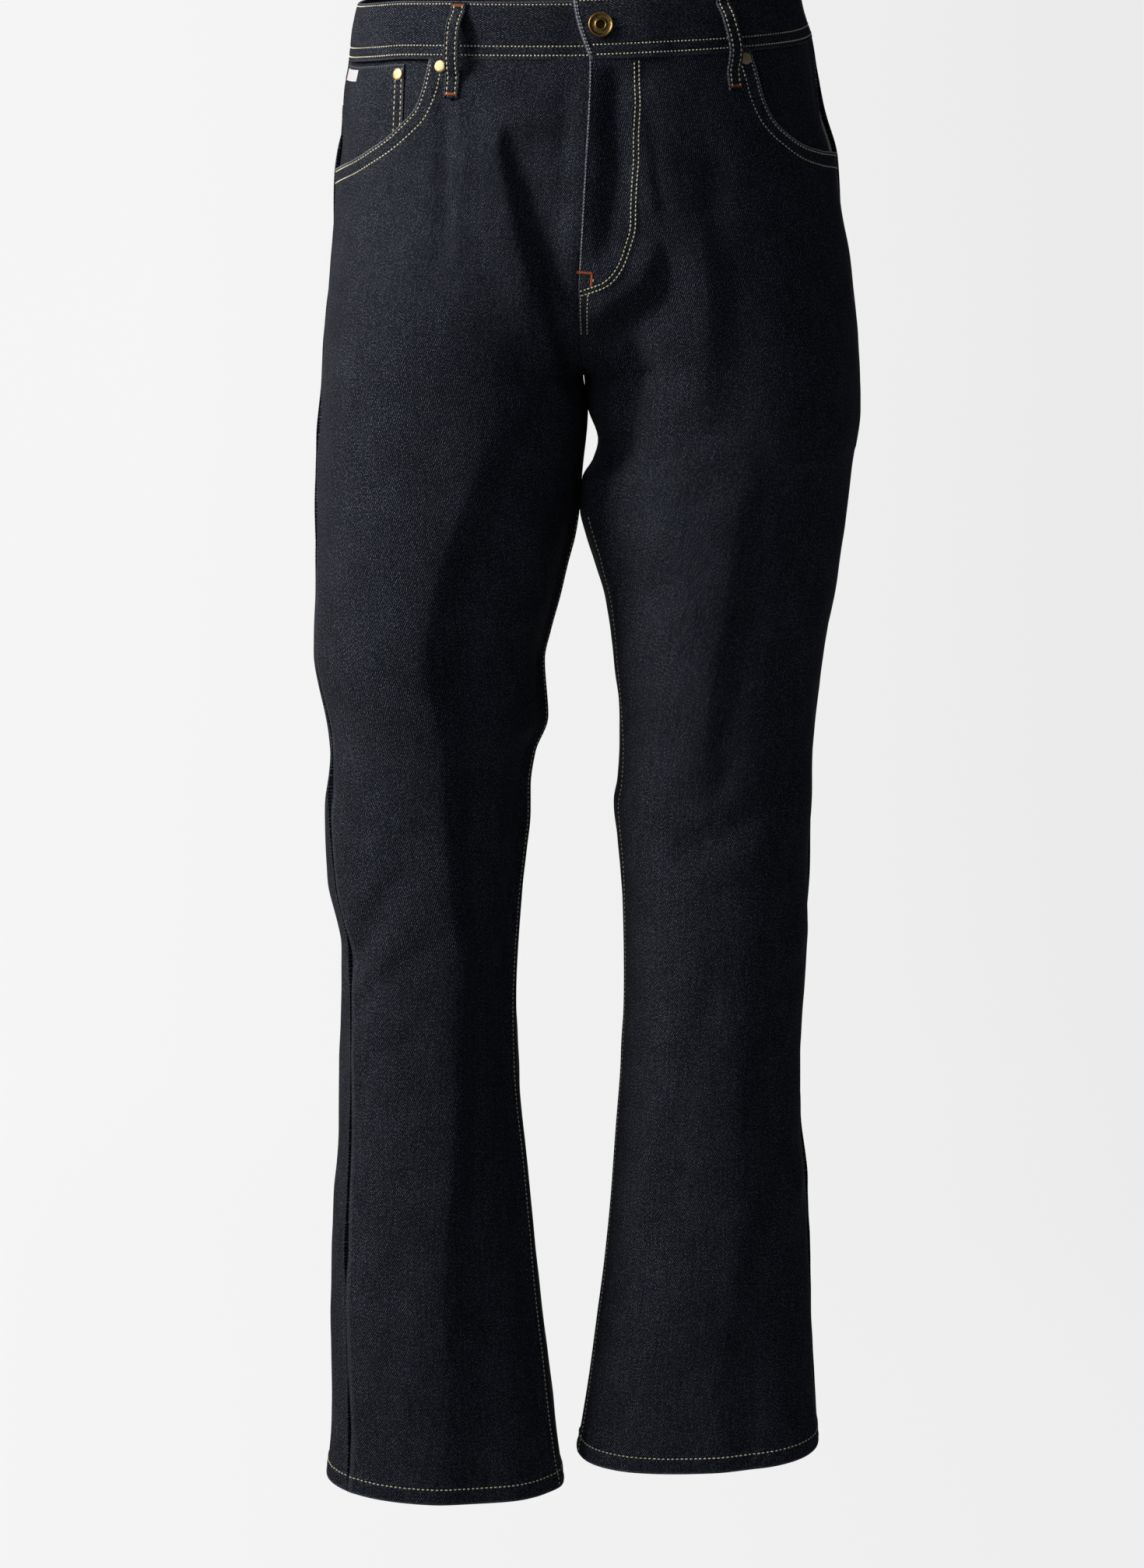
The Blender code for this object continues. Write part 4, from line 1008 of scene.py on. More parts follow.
def front_cells(leg):
    """A front's reach and drop grids: columns at fixed shares, its top edge along pocket mouth and band."""
    cloth = CLOTH[leg, "front"]
    top = BAND_DROP - TUCK
    mouth_drops = np.linspace(MOUTH_END, top, 400)
    mouth_shares = MOUTH_AT[leg](mouth_drops) / cloth.width(mouth_drops)
    corner = mouth_shares[-1]
    nominal = float(cloth.width(np.array(HEM_DROP / 2)))
    outer = spread(corner * nominal * STEEP_FROM, 44, last=False) / nominal
    steep = np.linspace(corner * STEEP_FROM, corner, 26)[1:]
    inner = corner + spread((1 - corner) * nominal, 40, first=False) / nominal
    shares = np.concatenate([outer, steep, inner[1:]])
    starts = np.where(shares < corner, np.interp(shares, mouth_shares, mouth_drops), top)
    rim_share = RIM_STOPS / LEAST_FALL
    near = np.concatenate([rim_share[:-1], np.linspace(rim_share[-1], 1, 38)[:-1]])[:, None]
    lower = hem_rows(FRONT_LEVEL + spread(HEM_DROP - FRONT_LEVEL, 300, first=False))
    drops = np.concatenate([starts + (FRONT_LEVEL - starts) * near, lower[:, None] * np.ones(len(shares))])
    reach = SEAM_MEET / 2 + shares * (cloth.width(drops) - SEAM_MEET / 2)
    reach[:, -1] -= np.where(drops[:, -1] < CROTCH_DROP, 0, SEAM_MEET / 2)
    return reach, drops


def front_panel(leg):
    cloth = CLOTH[leg, "front"]
    reach, drops = front_cells(leg)
    rise, mouth_away = front_rise(leg, reach, drops)
    from_centre = cloth.width(drops) - reach
    up = HEM_DROP - drops
    rim = rounded(least(reach - SEAM_MEET / 2, from_centre, up, drops - BAND_DROP + TUCK, mouth_away))
    thick = WALL + HEM_EXTRA * 2 * hem_share(drops)
    middle = fly_lift(leg, reach, drops) - WALL / 2
    outer, inner = cloth.layers(reach, drops, middle + (rise - middle) * rim, middle - (thick / 2) * rim)
    fly_away = fly_distance(reach, drops) if leg == "left" else 50.0
    free_edge = (drops < CROTCH_DROP) & (leg == "left")
    wear = bell(mouth_away, 0.6, 0.8) + 0.8 * bell(up, 0.4, 1.0)
    wear = wear + 0.6 * bell(from_centre, 0.4, 0.6) * free_edge
    wear = wear + 0.25 * bell(reach, 3.2, 1.6) * ease((drops - MOUTH_END) / 12)
    inseam_away = np.abs(from_centre - INSEAM_ROW) + 60 * (drops < CROTCH_DROP + 8)
    rows = [
        np.abs(fly_away - FLY_ROWS[1]),
        *(np.abs(mouth_away - row) for row in MOUTH_ROWS),
        np.abs(up - HEM_ROW),
        FAR if leg == "right" else inseam_away,
    ]
    marks = {"wear": np.clip(wear, 0, 1), "row_away": np.minimum.reduce(np.broadcast_arrays(*rows))}
    cloth_piece("front_panel_" + leg, outer, inner, cloth_uv(leg, reach, drops), "front_" + leg, marks)


def back_panel(leg):
    """A back: from the slanting yoke seam down; its rows level out below the seat."""
    cloth = CLOTH[leg, "back"]
    nominal = float(cloth.width(np.array(HEM_DROP / 2)))
    shares = spread(nominal, 72) / nominal
    start = YOKE_SIDE + SEAM_MEET
    levels = hem_rows(start + spread(HEM_DROP - start, 250, last=False))[:, None]
    slant = (yoke_drop(shares) - YOKE_SIDE) * np.clip((YOKE_FADE - levels) / (YOKE_FADE - start), 0, 1)
    drops = levels + slant
    reach = -(SEAM_MEET / 2 + shares * (cloth.width(drops) - SEAM_MEET / 2))
    reach[:, -1] += np.where(levels[:, 0] < CROTCH_DROP, 0, SEAM_MEET / 2)
    up = HEM_DROP - drops
    rim = rounded(least(-reach - SEAM_MEET / 2, cloth.width(drops) + reach, up, levels - start))
    rise = back_rise(leg, reach, drops)
    thick = WALL + HEM_EXTRA * 2 * hem_share(drops)
    middle = -WALL / 2
    outer, inner = cloth.layers(reach, drops, middle + (rise - middle) * rim, middle - thick / 2 * rim)
    wear = 0.8 * bell(up, 0.4, 1.0) + 0.2 * bell(-reach, 3.0, 1.6)
    marks = {"wear": np.clip(wear, 0, 1), "row_away": np.abs(up - HEM_ROW)}
    cloth_piece("back_panel_" + leg, outer, inner, cloth_uv(leg, reach, drops), "back_" + leg, marks)


def patch(name, cloth, reach, drops, outer_rise, node, thick=WALL, wear=0.0, bulge=0.0, **look):
    """A piece of cloth lying on or behind another, its rim half round on all four sides."""
    across = np.abs(reach - reach[:, :1]), np.abs(reach - reach[:, -1:])
    down = np.abs(drops - drops[:1]), np.abs(drops - drops[-1:])
    rim = rounded(least(*across, *down) * RIM / (thick / 2))
    middle = outer_rise - thick / 2
    outer, inner = cloth.layers(reach, drops, middle + (thick / 2 + bulge) * rim, middle - thick / 2 * rim)
    marks = {"wear": wear + np.zeros(reach.shape), "row_away": np.full(reach.shape, FAR)}
    cloth_piece(name, outer, inner, cloth_uv(cloth.leg, reach, drops), node, marks, **look)


def yoke(leg):
    cloth = CLOTH[leg, "back"]
    top = BAND_DROP - TUCK
    nominal = float(cloth.width(np.array(70.0)))
    shares = spread(nominal, 70) / nominal
    depth = YOKE_SIDE - top
    drops = top + (yoke_drop(shares) - top) * (spread(depth, 14) / depth)[:, None]
    reach = -(SEAM_MEET / 2 + shares * (cloth.width(drops) - SEAM_MEET / 2))
    bulge = 0.4 * ease((10 - (cloth.width(drops) + reach)) / 3)
    patch("yoke_" + leg, cloth, reach, drops, 0.0, "yoke_" + leg, bulge=bulge)


def crossings(rows, columns):
    """Two grids, of the columns' values and of the rows'."""
    return np.broadcast_arrays(columns[None, :], rows[:, None])


def pocket_facing(leg):
    """The cloth in the pocket mouth: from the outseam to well behind the front."""
    inner_edge = float(MOUTH_AT[leg](BAND_DROP)) + FACING_PAST
    top = BAND_DROP - BEHIND
    rows = top + spread(FACING_BOTTOM - top, 44)
    reach, drops = crossings(rows, SEAM_GAP + spread(inner_edge - SEAM_GAP, 60))
    name = "pocket_facing_" + leg
    patch(name, CLOTH[leg, "front"], reach, drops, -facing_sink(reach, drops), name)


def coin_lean(drop):
    """How much further in the coin pocket's inner side runs than its middle, plus towards the centre."""
    return 0.15 * (drop - COIN_TOP) - 4.0


def coin_pocket():
    """The small pocket on the right facing: its hemmed top stands a little proud of the cloth behind."""
    width = COIN_INNER - COIN_OUTER
    reach, drops = crossings(COIN_TOP + spread(COIN_BOTTOM - COIN_TOP, 56), COIN_OUTER + spread(width, 62))
    inner = COIN_INNER - reach
    reach = COIN_OUTER + (reach - COIN_OUTER) * (COIN_INNER + coin_lean(drops) - COIN_OUTER) / width
    crease = -0.9 * bell(reach, CREASE_REACH, 2.0) * (1 - ease((drops - COIN_TOP - 10) / 22))
    hem = 0.3 * ease((12.0 - (drops - COIN_TOP)) / 3)
    valleys = sum(0.3 * bell(inner, row, 0.9) for row in COIN_ROWS)
    wear = np.clip(bell(drops, COIN_TOP + 0.3, 0.8) * 0.6 + bell(inner, 0.4, 0.7) * 0.5, 0, 1)
    level = 0.9 * bell(drops, 79.0 + 0.03 * reach, 1.8) * ease((reach - 8) / 14) * ease((96 - reach) / 10)
    patch("coin_pocket_cloth", CLOTH["right", "front"], reach, drops, coin_rise(reach, drops), "coin_pocket",
          wear=wear, bulge=crease + hem - valleys - level)


def woven_tab():
    """The small bare tab that stands up on the coin pocket."""
    reach, drops = crossings(TAB_TOP + spread(TAB_HEIGHT, 8), TAB_REACH + spread(TAB_WIDTH, 26))
    outer_rise = coin_rise(reach, drops) + TAB_GAP + TAB_WALL
    patch("woven_tab", CLOTH["right", "front"], reach, drops, outer_rise, "coin_pocket_tab", TAB_WALL,
          finishes=[TAB_FINISH], slot="woven_tab")


def fly_shield():
    """A strip behind the centre front, from just past the right edge to the fly stitching."""
    top = BAND_DROP - BEHIND
    drops = top + spread(SHIELD_DROP - top, 50)
    middle = -(WALL + LAYER_GAP) - WALL / 2
    halves = []
    for leg, run in (("left", SHIELD_LEFT), ("right", SHIELD_RIGHT)):
        cloth = CLOTH[leg, "front"]
        stops = spread(run, 12, last=leg == "left", first=leg == "right")
        inset, level = crossings(drops, run - stops if leg == "left" else stops)
        reach = cloth.width(level) - inset - 0.02
        rim = rounded(np.minimum.reduce([level - level[0], level[-1] - level, np.abs(run - inset)]))
        layers = cloth.layers(reach, level, middle + WALL / 2 * rim, middle - WALL / 2 * rim)
        order = np.argsort(-SIDE[leg] * inset[0])
        order = order if leg == "left" else order[1:]  # the halves meet in one column
        halves.append([values[:, order] for values in (*layers, SIDE[leg] * inset, level)])
    outer, inner, aside, level = (np.concatenate(pair, axis=1) for pair in zip(*halves))
    marks = {"wear": np.zeros(level.shape), "row_away": np.full(level.shape, FAR)}
    cloth_piece("fly_shield_cloth", outer, inner, np.stack([aside, level], axis=-1), "fly_shield", marks)


def patch_layout(leg, u, v):
    """Reach and drop on a back pocket: u runs from -1 to 1 across it and v from 0 to 1 down it."""
    half = PATCH_TOP_HALF + (PATCH_BOTTOM_HALF - PATCH_TOP_HALF) * v
    aside = u * half
    fall = v * (PATCH_SIDE + PATCH_POINT * (1 - np.abs(u)))
    drops = PATCH_TOP - PATCH_TOP_SLOPE * aside + fall
    return -(CLOTH[leg, "back"].width(drops) - PATCH_FROM_CENTRE - aside), drops


def back_pocket(leg):
    """A five-sided patch on the back, a little full between its sewn edges."""
    stops = spread(2 * PATCH_TOP_HALF, 52) / PATCH_TOP_HALF - 1
    u, v = crossings(spread(PATCH_SIDE, 52) / PATCH_SIDE, np.sort(np.concatenate([stops, [0.0]])))
    reach, drops = patch_layout(leg, u, v)
    inset = np.minimum((1 - np.abs(u)) * PATCH_TOP_HALF, (1 - v) * PATCH_SIDE)
    top = v * PATCH_SIDE
    hem = 0.4 * ease((15.0 - top) / 3)
    full = 0.8 * ease(inset / 40) * ease(top / 10)
    valleys = sum(0.3 * bell(inset, row, 0.9) for row in PATCH_ROWS)
    wear = np.clip(0.5 * bell(inset, 0.4, 0.8) + 0.6 * bell(top, 0.4, 0.8), 0, 1)
    patch("back_pocket_cloth_" + leg, CLOTH[leg, "back"], reach, drops, PATCH_GAP + WALL,
          "back_pocket_" + leg, wear=wear, bulge=hem + full - valleys)


def band_route():
    """The waistband's stations from its lower to its upper end: leg, turn and number of the part."""
    stops = np.linspace(0, math.pi / 2, 150)
    under = turn_at("left", "front", np.linspace(UNDERLAP, 0, 22), 0.0)
    over = float(turn_at("left", "front", 0.6, 0.0))
    parts = [
        ("left", under[:-1]),
        ("right", stops[::-1]),
        ("right", -stops[1:]),
        ("left", -stops[::-1][1:]),
        ("left", over * (1 - (1 - np.linspace(0, 1, 170)[1:]) ** 1.15)),
    ]
    legs = np.concatenate([[leg] * len(turns) for leg, turns in parts])
    part = np.concatenate([[i] * len(turns) for i, (_, turns) in enumerate(parts)])
    return legs, np.concatenate([turns for _, turns in parts]), part


def band_points(legs, turns, part, drops):
    """Points and outward directions on the waistband's plain face at each station and drop."""
    points = np.zeros((len(turns), len(drops), 3))
    out = np.zeros((len(turns), len(drops), 3))
    small = math.radians(FINE_STEP)
    for leg in SIDE:
        here = legs == leg
        over = part[here] == UPPER_END
        turn, level = np.broadcast_arrays(turns[here][:, None], drops[None, :])
        if leg == "left":
            across = OUTLINE_AT["left"](0.0) * signed_power(np.cos(turn), 2 / FRONT_SQUARE)
            slant = LAP_SLANT * (1 - (level / BAND_DROP) ** 1.8) * ease((LAP_START - across) / LAP_START)
            slanted = turn_at("left", "front", across - slant, 0.0)
            turn = np.where(over[:, None], slanted, turn)
        points[here] = plain_form(leg, turn, level)
        if leg == "left":
            raised = LAP_RAISE * (1 - level / BAND_DROP) * ease((120 - across) / 70)
            points[here, :, 2] += np.where(over[:, None], raised, 0.0)
        run = plain_form(leg, turn + small, level) - plain_form(leg, turn - small, level)
        flat = np.stack([-run[..., 1], run[..., 0], 0 * run[..., 0]], axis=-1) * SIDE[leg]
        out[here] = unit(flat)
    side = np.where(legs == "right", -1.0, 1.0)
    outline = np.where(legs == "right", OUTLINE_AT["right"](0.0), OUTLINE_AT["left"](0.0))
    across = side * outline * signed_power(np.cos(turns), 2 / FRONT_SQUARE)
    lapped = LAP * ease((LAP_START - across) / (LAP_START - LAP_END)) * (part == UPPER_END)
    sunk = -UNDERLAP_SINK * ease((across - UNDERLAP_START) / (UNDERLAP_END - UNDERLAP_START))
    sunk = sunk * (turns > 0) * (part != UPPER_END)
    return points, out, lapped + sunk


def band_length(route):
    """The run of the waistband's top edge up to each station."""
    return run_of(band_points(*route, np.zeros(1))[0][:, 0])


def band_rise(length, drops):
    """The waistband's outer face: full between its stitched rows, pinched at them, a little wavy."""
    pinch = 0.45 * sum(bell(np.abs(drops - row), 0, 0.8) for row in BAND_ROWS)
    full = 0.35 * np.sin(np.clip((drops - BAND_ROWS[0]) / (BAND_ROWS[1] - BAND_ROWS[0]), 0, 1) * math.pi)
    wave = 0.35 * lumps(length, drops, 26.0, 81) + 0.2 * lumps(length, drops * 0.5, 9.0, 82)
    return full + wave - pinch


def waistband(route):
    """One strip round the waist: from its lower end under the left front, right round, to its upper end."""
    drops = spread(BAND_DROP, 25)
    points, out, shift = band_points(*route, drops)
    length, level = np.broadcast_arrays(band_length(route)[:, None], drops[None, :])
    end = length[-1] - length
    edge = least(level, BAND_DROP - level, length, end)
    rim = rounded(edge * 0.7)
    middle = shift[:, None] + (BAND_PROUD - BAND_DEPTH) / 2
    half = (BAND_PROUD + BAND_DEPTH) / 2
    outer = points + out * (middle + (half + band_rise(length, level) * ease(edge / 2)) * rim)[..., None]
    inner = points + out * (middle - half * rim)[..., None]
    wear = 0.55 * bell(level, 0.3, 0.9) + 0.4 * bell(BAND_DROP - level, 0.3, 0.7) + bell(end, 0.4, 1.0)
    away = np.minimum.reduce([np.abs(level - row) for row in BAND_ROWS])
    marks = {"wear": np.clip(wear, 0, 1), "row_away": away}
    cloth_piece("waistband_cloth", outer, inner, np.stack([level, length], axis=-1), "waistband", marks)


def loop_place(row):
    """A function giving points, outward direction and lift at a distance aside and a drop on a loop."""
    name, leg, reach_top, reach_bottom = row
    first, last = LOOP_LIFT[0][0], LOOP_LIFT[-1][0]
    cloth = CLOTH[leg, "front" if reach_top > 0 else "back"]

    def at(aside, level):
        middle = reach_top + (reach_bottom - reach_top) * (level - first) / (last - first)
        return cloth.plain(middle + aside, level), cloth.normal(middle, level), LIFT_AT(level)

    def at_back(aside, level):
        halves = [plain_form(side, turn_at(side, "back", np.abs(aside), level), level) for side in SIDE]
        points = np.where((aside < 0)[..., None], *halves)
        points[..., 1] = plain_form("left", turn_at("left", "back", 0.0, level), level)[..., 1]
        return points, np.zeros(points.shape) + np.array([0.0, 1.0, 0.0]), LIFT_AT(level)

    return at_back if name == "back" else at


def belt_loop(row):
    """A folded strip with a low channel down its middle between two rows."""
    first, last = LOOP_LIFT[0][0], LOOP_LIFT[-1][0]
    aside, level = crossings(first + spread(last - first, 44), spread(LOOP_WIDTH, 10) - LOOP_WIDTH / 2)
    plain, out, lift = loop_place(row)(aside, level)
    from_side = LOOP_WIDTH / 2 - np.abs(aside)
    rim = rounded(least(from_side, level - level.min(), level.max() - level))
    relief = 0.25 * bell(np.abs(aside), 4.6, 0.8) - 0.3 * bell(np.abs(aside), LOOP_ROW, 0.7)
    middle = lift + LOOP_WALL / 2
    outer = plain + out * (middle + (LOOP_WALL / 2 + relief) * rim)[..., None]
    inner = plain + out * (middle - LOOP_WALL / 2 * rim)[..., None]
    wear = np.clip(bell(from_side, 0.3, 0.7), 0, 1) * 0.4
    marks = {"wear": wear, "row_away": np.abs(np.abs(aside) - LOOP_ROW)}
    uv = np.stack([aside, level], axis=-1)
    cloth_piece("loop_cloth_" + row[0], outer, inner, uv, "belt_loop_" + row[0], marks)


def lathe(name, profile, place, out, finish, steps, closed=False):
    """A profile of radius and height turned round its own axis; its ends meet in a pole or close a ring."""
    radius, height = np.array(profile, float).T
    turn = np.linspace(0, math.tau, steps, endpoint=False)[:, None]
    ring = np.broadcast_arrays(radius * np.cos(turn), radius * np.sin(turn), height)
    points = np.stack(ring, axis=-1).reshape(-1, 3)
    count = len(profile)
    ids = np.arange(steps * count).reshape(steps, count)
    ids = np.concatenate([ids, ids[:1]])
    if closed:
        faces = quads_of(np.concatenate([ids, ids[:, :1]], axis=1)).tolist()
    else:
        ids[:, 0], ids[:, -1] = ids[0, 0], ids[0, -1]
        ends = quads_of(ids).reshape(steps, count - 1, 4)
        ends = np.concatenate([ends[:, 0], ends[:, -1]]).tolist()
        faces = [list(dict.fromkeys(face)) for face in ends] + quads_of(ids[:, 1:-1]).tolist()
        keep = np.unique(ids)
        number = {old: new for new, old in enumerate(keep.tolist())}
        points = points[keep]
        faces = [[number[corner] for corner in face] for face in faces]
    axis = np.array(Vector((0, 0, 1)).rotation_difference(Vector(out)).to_matrix())
    made = new_object(name, points @ axis.T + np.asarray(place), faces, [finish])
    turned = made.data.attributes.new("turned_place", "FLOAT_VECTOR", "POINT")
    turned.data.foreach_set("vector", (points * MM).astype(np.float32).ravel())
    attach(made, "root")
    return made


def stitch_mesh(name, centres, along, out, lengths, finish, thickness=THREAD):
    """Short rounded threads: rings of points round each stitch's line, arched over the cloth, with
    pointed ends. All stitches of a seam are one mesh."""
    aside = np.cross(out, along)
    turn = np.arange(STITCH_SIDES) / STITCH_SIDES * math.tau
    t, width, lift = STITCH_RINGS.T[:, :, None]
    body = (
        centres[:, None, None]
        + along[:, None, None] * (t * lengths[:, None, None] / 2)[..., None]
        + aside[:, None, None] * (width * np.cos(turn) * thickness)[..., None]
        + out[:, None, None] * (width * np.sin(turn) * thickness * STITCH_FLAT + lift)[..., None]
    )
    half = along * (lengths / 2 + thickness * TIP_REACH)[:, None]
    tips = np.stack([centres - half - out * TIP_DIP, centres + half - out * TIP_DIP], axis=1)
    count, rings = len(centres), len(STITCH_RINGS)
    size = rings * STITCH_SIDES + 2
    points = np.concatenate([body.reshape(count, -1, 3), tips], axis=1).reshape(-1, 3)
    ids = np.arange(rings * STITCH_SIDES).reshape(rings, STITCH_SIDES)
    ids = np.concatenate([ids, ids[:, :1]], axis=1)
    ends = [(ids[0, k + 1], ids[0, k], size - 2) for k in range(STITCH_SIDES)]
    ends += [(ids[-1, k], ids[-1, k + 1], size - 1) for k in range(STITCH_SIDES)]
    starts = np.arange(count)[:, None, None] * size
    quads = (quads_of(ids) + starts).reshape(-1, 4)
    ends = (np.array(ends) + starts).reshape(-1, 3)
    made = new_object(name, points, quads.tolist() + ends.tolist(), [finish])
    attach(made, "root")


def read_along(values, run, at):
    return np.stack([np.interp(at, run, values[:, k]) for k in range(3)], axis=-1)


def stitch_places(points, out, seed, pitch):
    """Centres, directions and lengths of the stitches along a line of points, a little uneven."""
    run = run_of(points)
    count = max(int(run[-1] / pitch), 1)
    noise = np.random.default_rng(seed)
    middle = (np.arange(count) + 0.5) * run[-1] / count + noise.uniform(-0.12, 0.12, count)
    half = STITCH_LENGTH / 2 * (pitch / STITCH_PITCH) * noise.uniform(0.92, 1.04, count)
    before, after = read_along(points, run, middle - half), read_along(points, run, middle + half)
    size = np.linalg.norm(after - before, axis=1)
    along = (after - before) / np.maximum(size, 1e-6)[:, None]
    normal = read_along(out, run, middle)
    normal = unit(normal - along * (normal * along).sum(axis=1, keepdims=True))
    skew = noise.uniform(-0.05, 0.05, count)[:, None] * np.cross(normal, along)
    return (before + after) / 2, unit(along + skew), normal, size


def seam(name, lines, finish, seed, pitch=STITCH_PITCH, **how):
    """Several lines of stitches as one piece; each line is its points and its outward directions."""
    parts = [stitch_places(points, out, seed + i, pitch) for i, (points, out) in enumerate(lines)]
    centres, along, normal, size = (np.concatenate([part[k] for part in parts]) for k in range(4))
    stitch_mesh(name, centres, along, normal, size, finish, **how)


def on_front(leg, reach, drop, extra=0.0):
    """A line of points on a front's outer face, with the outward direction there."""
    cloth = CLOTH[leg, "front"]
    rise, _ = front_rise(leg, reach, drop)
    point, = cloth.layers(reach, drop, rise + extra)
    return point, cloth.normal(reach, drop)


def on_back(leg, reach, drop, extra=0.0, rise=None):
    """The same on a back's outer face, or at a rise of its own."""
    cloth = CLOTH[leg, "back"]
    rise = back_rise(leg, reach, drop) if rise is None else rise
    point, = cloth.layers(reach, drop, rise + extra)
    return point, cloth.normal(reach, drop)


def offset_line(reach, drop, shift):
    """The same line moved aside on the cloth by a shift, plus towards the centre for one that falls."""
    along = np.gradient(reach), np.gradient(drop)
    length = np.hypot(*along)
    return reach + shift * along[1] / length, drop - shift * along[0] / length


def mouth_row(leg, row, extra=0.0):
    reach, drop = offset_line(*mouth_line(leg), row)
    keep = (drop > BAND_DROP + 1.5) & (reach > 1.5)
    return on_front(leg, reach[keep], drop[keep], extra)


def mouth_seams():
    for leg in SIDE:
        rows = [mouth_row(leg, row) for row in MOUTH_ROWS]
        seam("pocket_mouth_stitches_" + leg, rows, PALE_THREAD, 100, pitch=MOUTH_PITCH)
        edge = mouth_row(leg, 0.7, -0.15)
        seam("pocket_edge_stitches_" + leg, [edge], GREY_THREAD, 110, pitch=EDGE_PITCH, thickness=0.36)


def beside_rise(drop, inset, extra=0.0):
    """A line on the left front at a distance from its free edge."""
    return on_front("left", CLOTH["left", "front"].width(drop) - inset, drop, extra)


def fly_seams():
    lines = []
    for row in FLY_ROWS:
        reach, drop = offset_line(*fly_line(), row)
        keep = (drop > BAND_DROP + 1.0) & (reach < CLOTH["left", "front"].width(drop) - 1.0)
        lines.append(on_front("left", reach[keep], drop[keep]))
    lines += [beside_rise(np.linspace(FLY_END, 246, 30), row) for row in FLY_FOOT_ROWS]
    seam("fly_stitches", lines, PALE_THREAD, 120, pitch=MOUTH_PITCH, thickness=0.46)
    edge = beside_rise(np.linspace(BAND_DROP + 1.5, 198.0, 120), 1.1)
    seam("fly_edge_stitches", [edge], GREY_THREAD, 130, pitch=EDGE_PITCH, thickness=0.4)


def hem_seams():
    level = np.full(150, HEM_DROP - HEM_ROW)
    for leg in SIDE:
        ends = [float(CLOTH[leg, face].width(level[0])) - 1.0 for face in FACE_SIGN]
        lines = [on_front(leg, np.linspace(1.0, ends[0], 150), level)]
        lines.append(on_back(leg, -np.linspace(1.0, ends[1], 150), level))
        seam("hem_stitches_" + leg, lines, PALE_THREAD, 140)


def inseam_seams():
    for leg in SIDE:
        drop = np.linspace(INSEAM_START, HEM_DROP - 2, 460)
        reach = CLOTH[leg, "front"].width(drop) - INSEAM_ROW
        seam("inseam_stitches_" + leg, [on_front(leg, reach, drop)], PALE_THREAD, 160, thickness=0.42)


def yoke_seams():
    """Double rows along the yoke seam, and down the centre back on its left side."""
    for leg in SIDE:
        cloth = CLOTH[leg, "back"]
        share = np.linspace(0.01, 0.99, 140)
        lines = []
        for row in FELL_ROWS:
            drop = yoke_drop(share) + SEAM_GAP + row
            lines.append(on_back(leg, -share * cloth.width(drop), drop))
        if leg == "left":
            below = np.linspace(YOKE_CENTRE + 2, CROTCH_DROP - 2, 120)
            above = np.linspace(BAND_DROP + 1.5, YOKE_CENTRE - 1, 50)
            flat = np.zeros(50)
            lines += [on_back(leg, row - cloth.width(below), below) for row in FELL_ROWS]
            lines += [on_back(leg, row - cloth.width(above), above, 0.4, flat) for row in FELL_ROWS]
        seam("yoke_stitches_" + leg, lines, PALE_THREAD, 180)


def patch_seams():
    """Two rows round each back pocket's sides and point, and two along its top."""
    for leg in SIDE:
        lines = []
        for inset in PATCH_ROWS:
            u, v = 1 - inset / PATCH_TOP_HALF, 1 - inset / PATCH_SIDE
            point = np.concatenate([np.linspace(-u, 0, 40)[1:], np.linspace(0, u, 40)[1:]])
            path_u = np.concatenate([np.full(60, -u), point, np.full(59, u)])
            down, up = np.linspace(0.012, v, 60), np.linspace(v, 0.012, 60)[1:]
            path_v = np.concatenate([down, np.full(78, v), up])
            lines.append((path_u, path_v, 0.1))
        for inset in PATCH_HEM_ROWS:
            lines.append((np.linspace(-0.97, 0.97, 120), np.full(120, inset / PATCH_SIDE), 0.35))
        lines = [
            on_back(leg, *patch_layout(leg, u, v), extra, np.full(len(u), PATCH_GAP + WALL))
            for u, v, extra in lines
        ]
        seam("back_pocket_stitches_" + leg, lines, PALE_THREAD, 200)


def coin_seams():
    cloth = CLOTH["right", "front"]
    drop = np.linspace(COIN_TOP + 2, 112.0, 60)
    lines = []
    for row in COIN_ROWS:
        reach = COIN_INNER + coin_lean(drop) - row
        lines.append((cloth.layers(reach, drop, coin_rise(reach, drop))[0], cloth.normal(reach, drop)))
    seam("coin_pocket_stitches", lines, PALE_THREAD, 220, pitch=3.7)


def on_band(route, length, drops):
    """Points on the waistband's outer face at each station and drop, with the outward directions."""
    points, out, shift = band_points(*route, drops)
    rise = BAND_PROUD + shift[:, None] + band_rise(*np.broadcast_arrays(length[:, None], drops))
    return points + out * rise[..., None], out


def band_seams(route):
    length = band_length(route)
    points, out = on_band(route, length, np.array(BAND_ROWS))
    lines = []
    for k, clear in enumerate((3.0, 5.0, 5.0)):
        keep = (length > 3.0) & (length < length[-1] - clear)
        lines.append((points[keep, k], out[keep, k]))
    seam("waistband_stitches", lines, PALE_THREAD, 240, pitch=BAND_PITCH)
    ends = []
    for inset in (1.5, 3.4):
        station = int(np.searchsorted(length, length[-1] - inset))
        here = slice(station, station + 1)
        points, out = on_band([values[here] for values in route], length[here],
                              np.linspace(BAND_ROWS[0], BAND_ROWS[2], 24))
        ends.append((points[0], out[0]))
    seam("waistband_end_stitches", ends, GREY_THREAD, 250, pitch=BAND_PITCH)


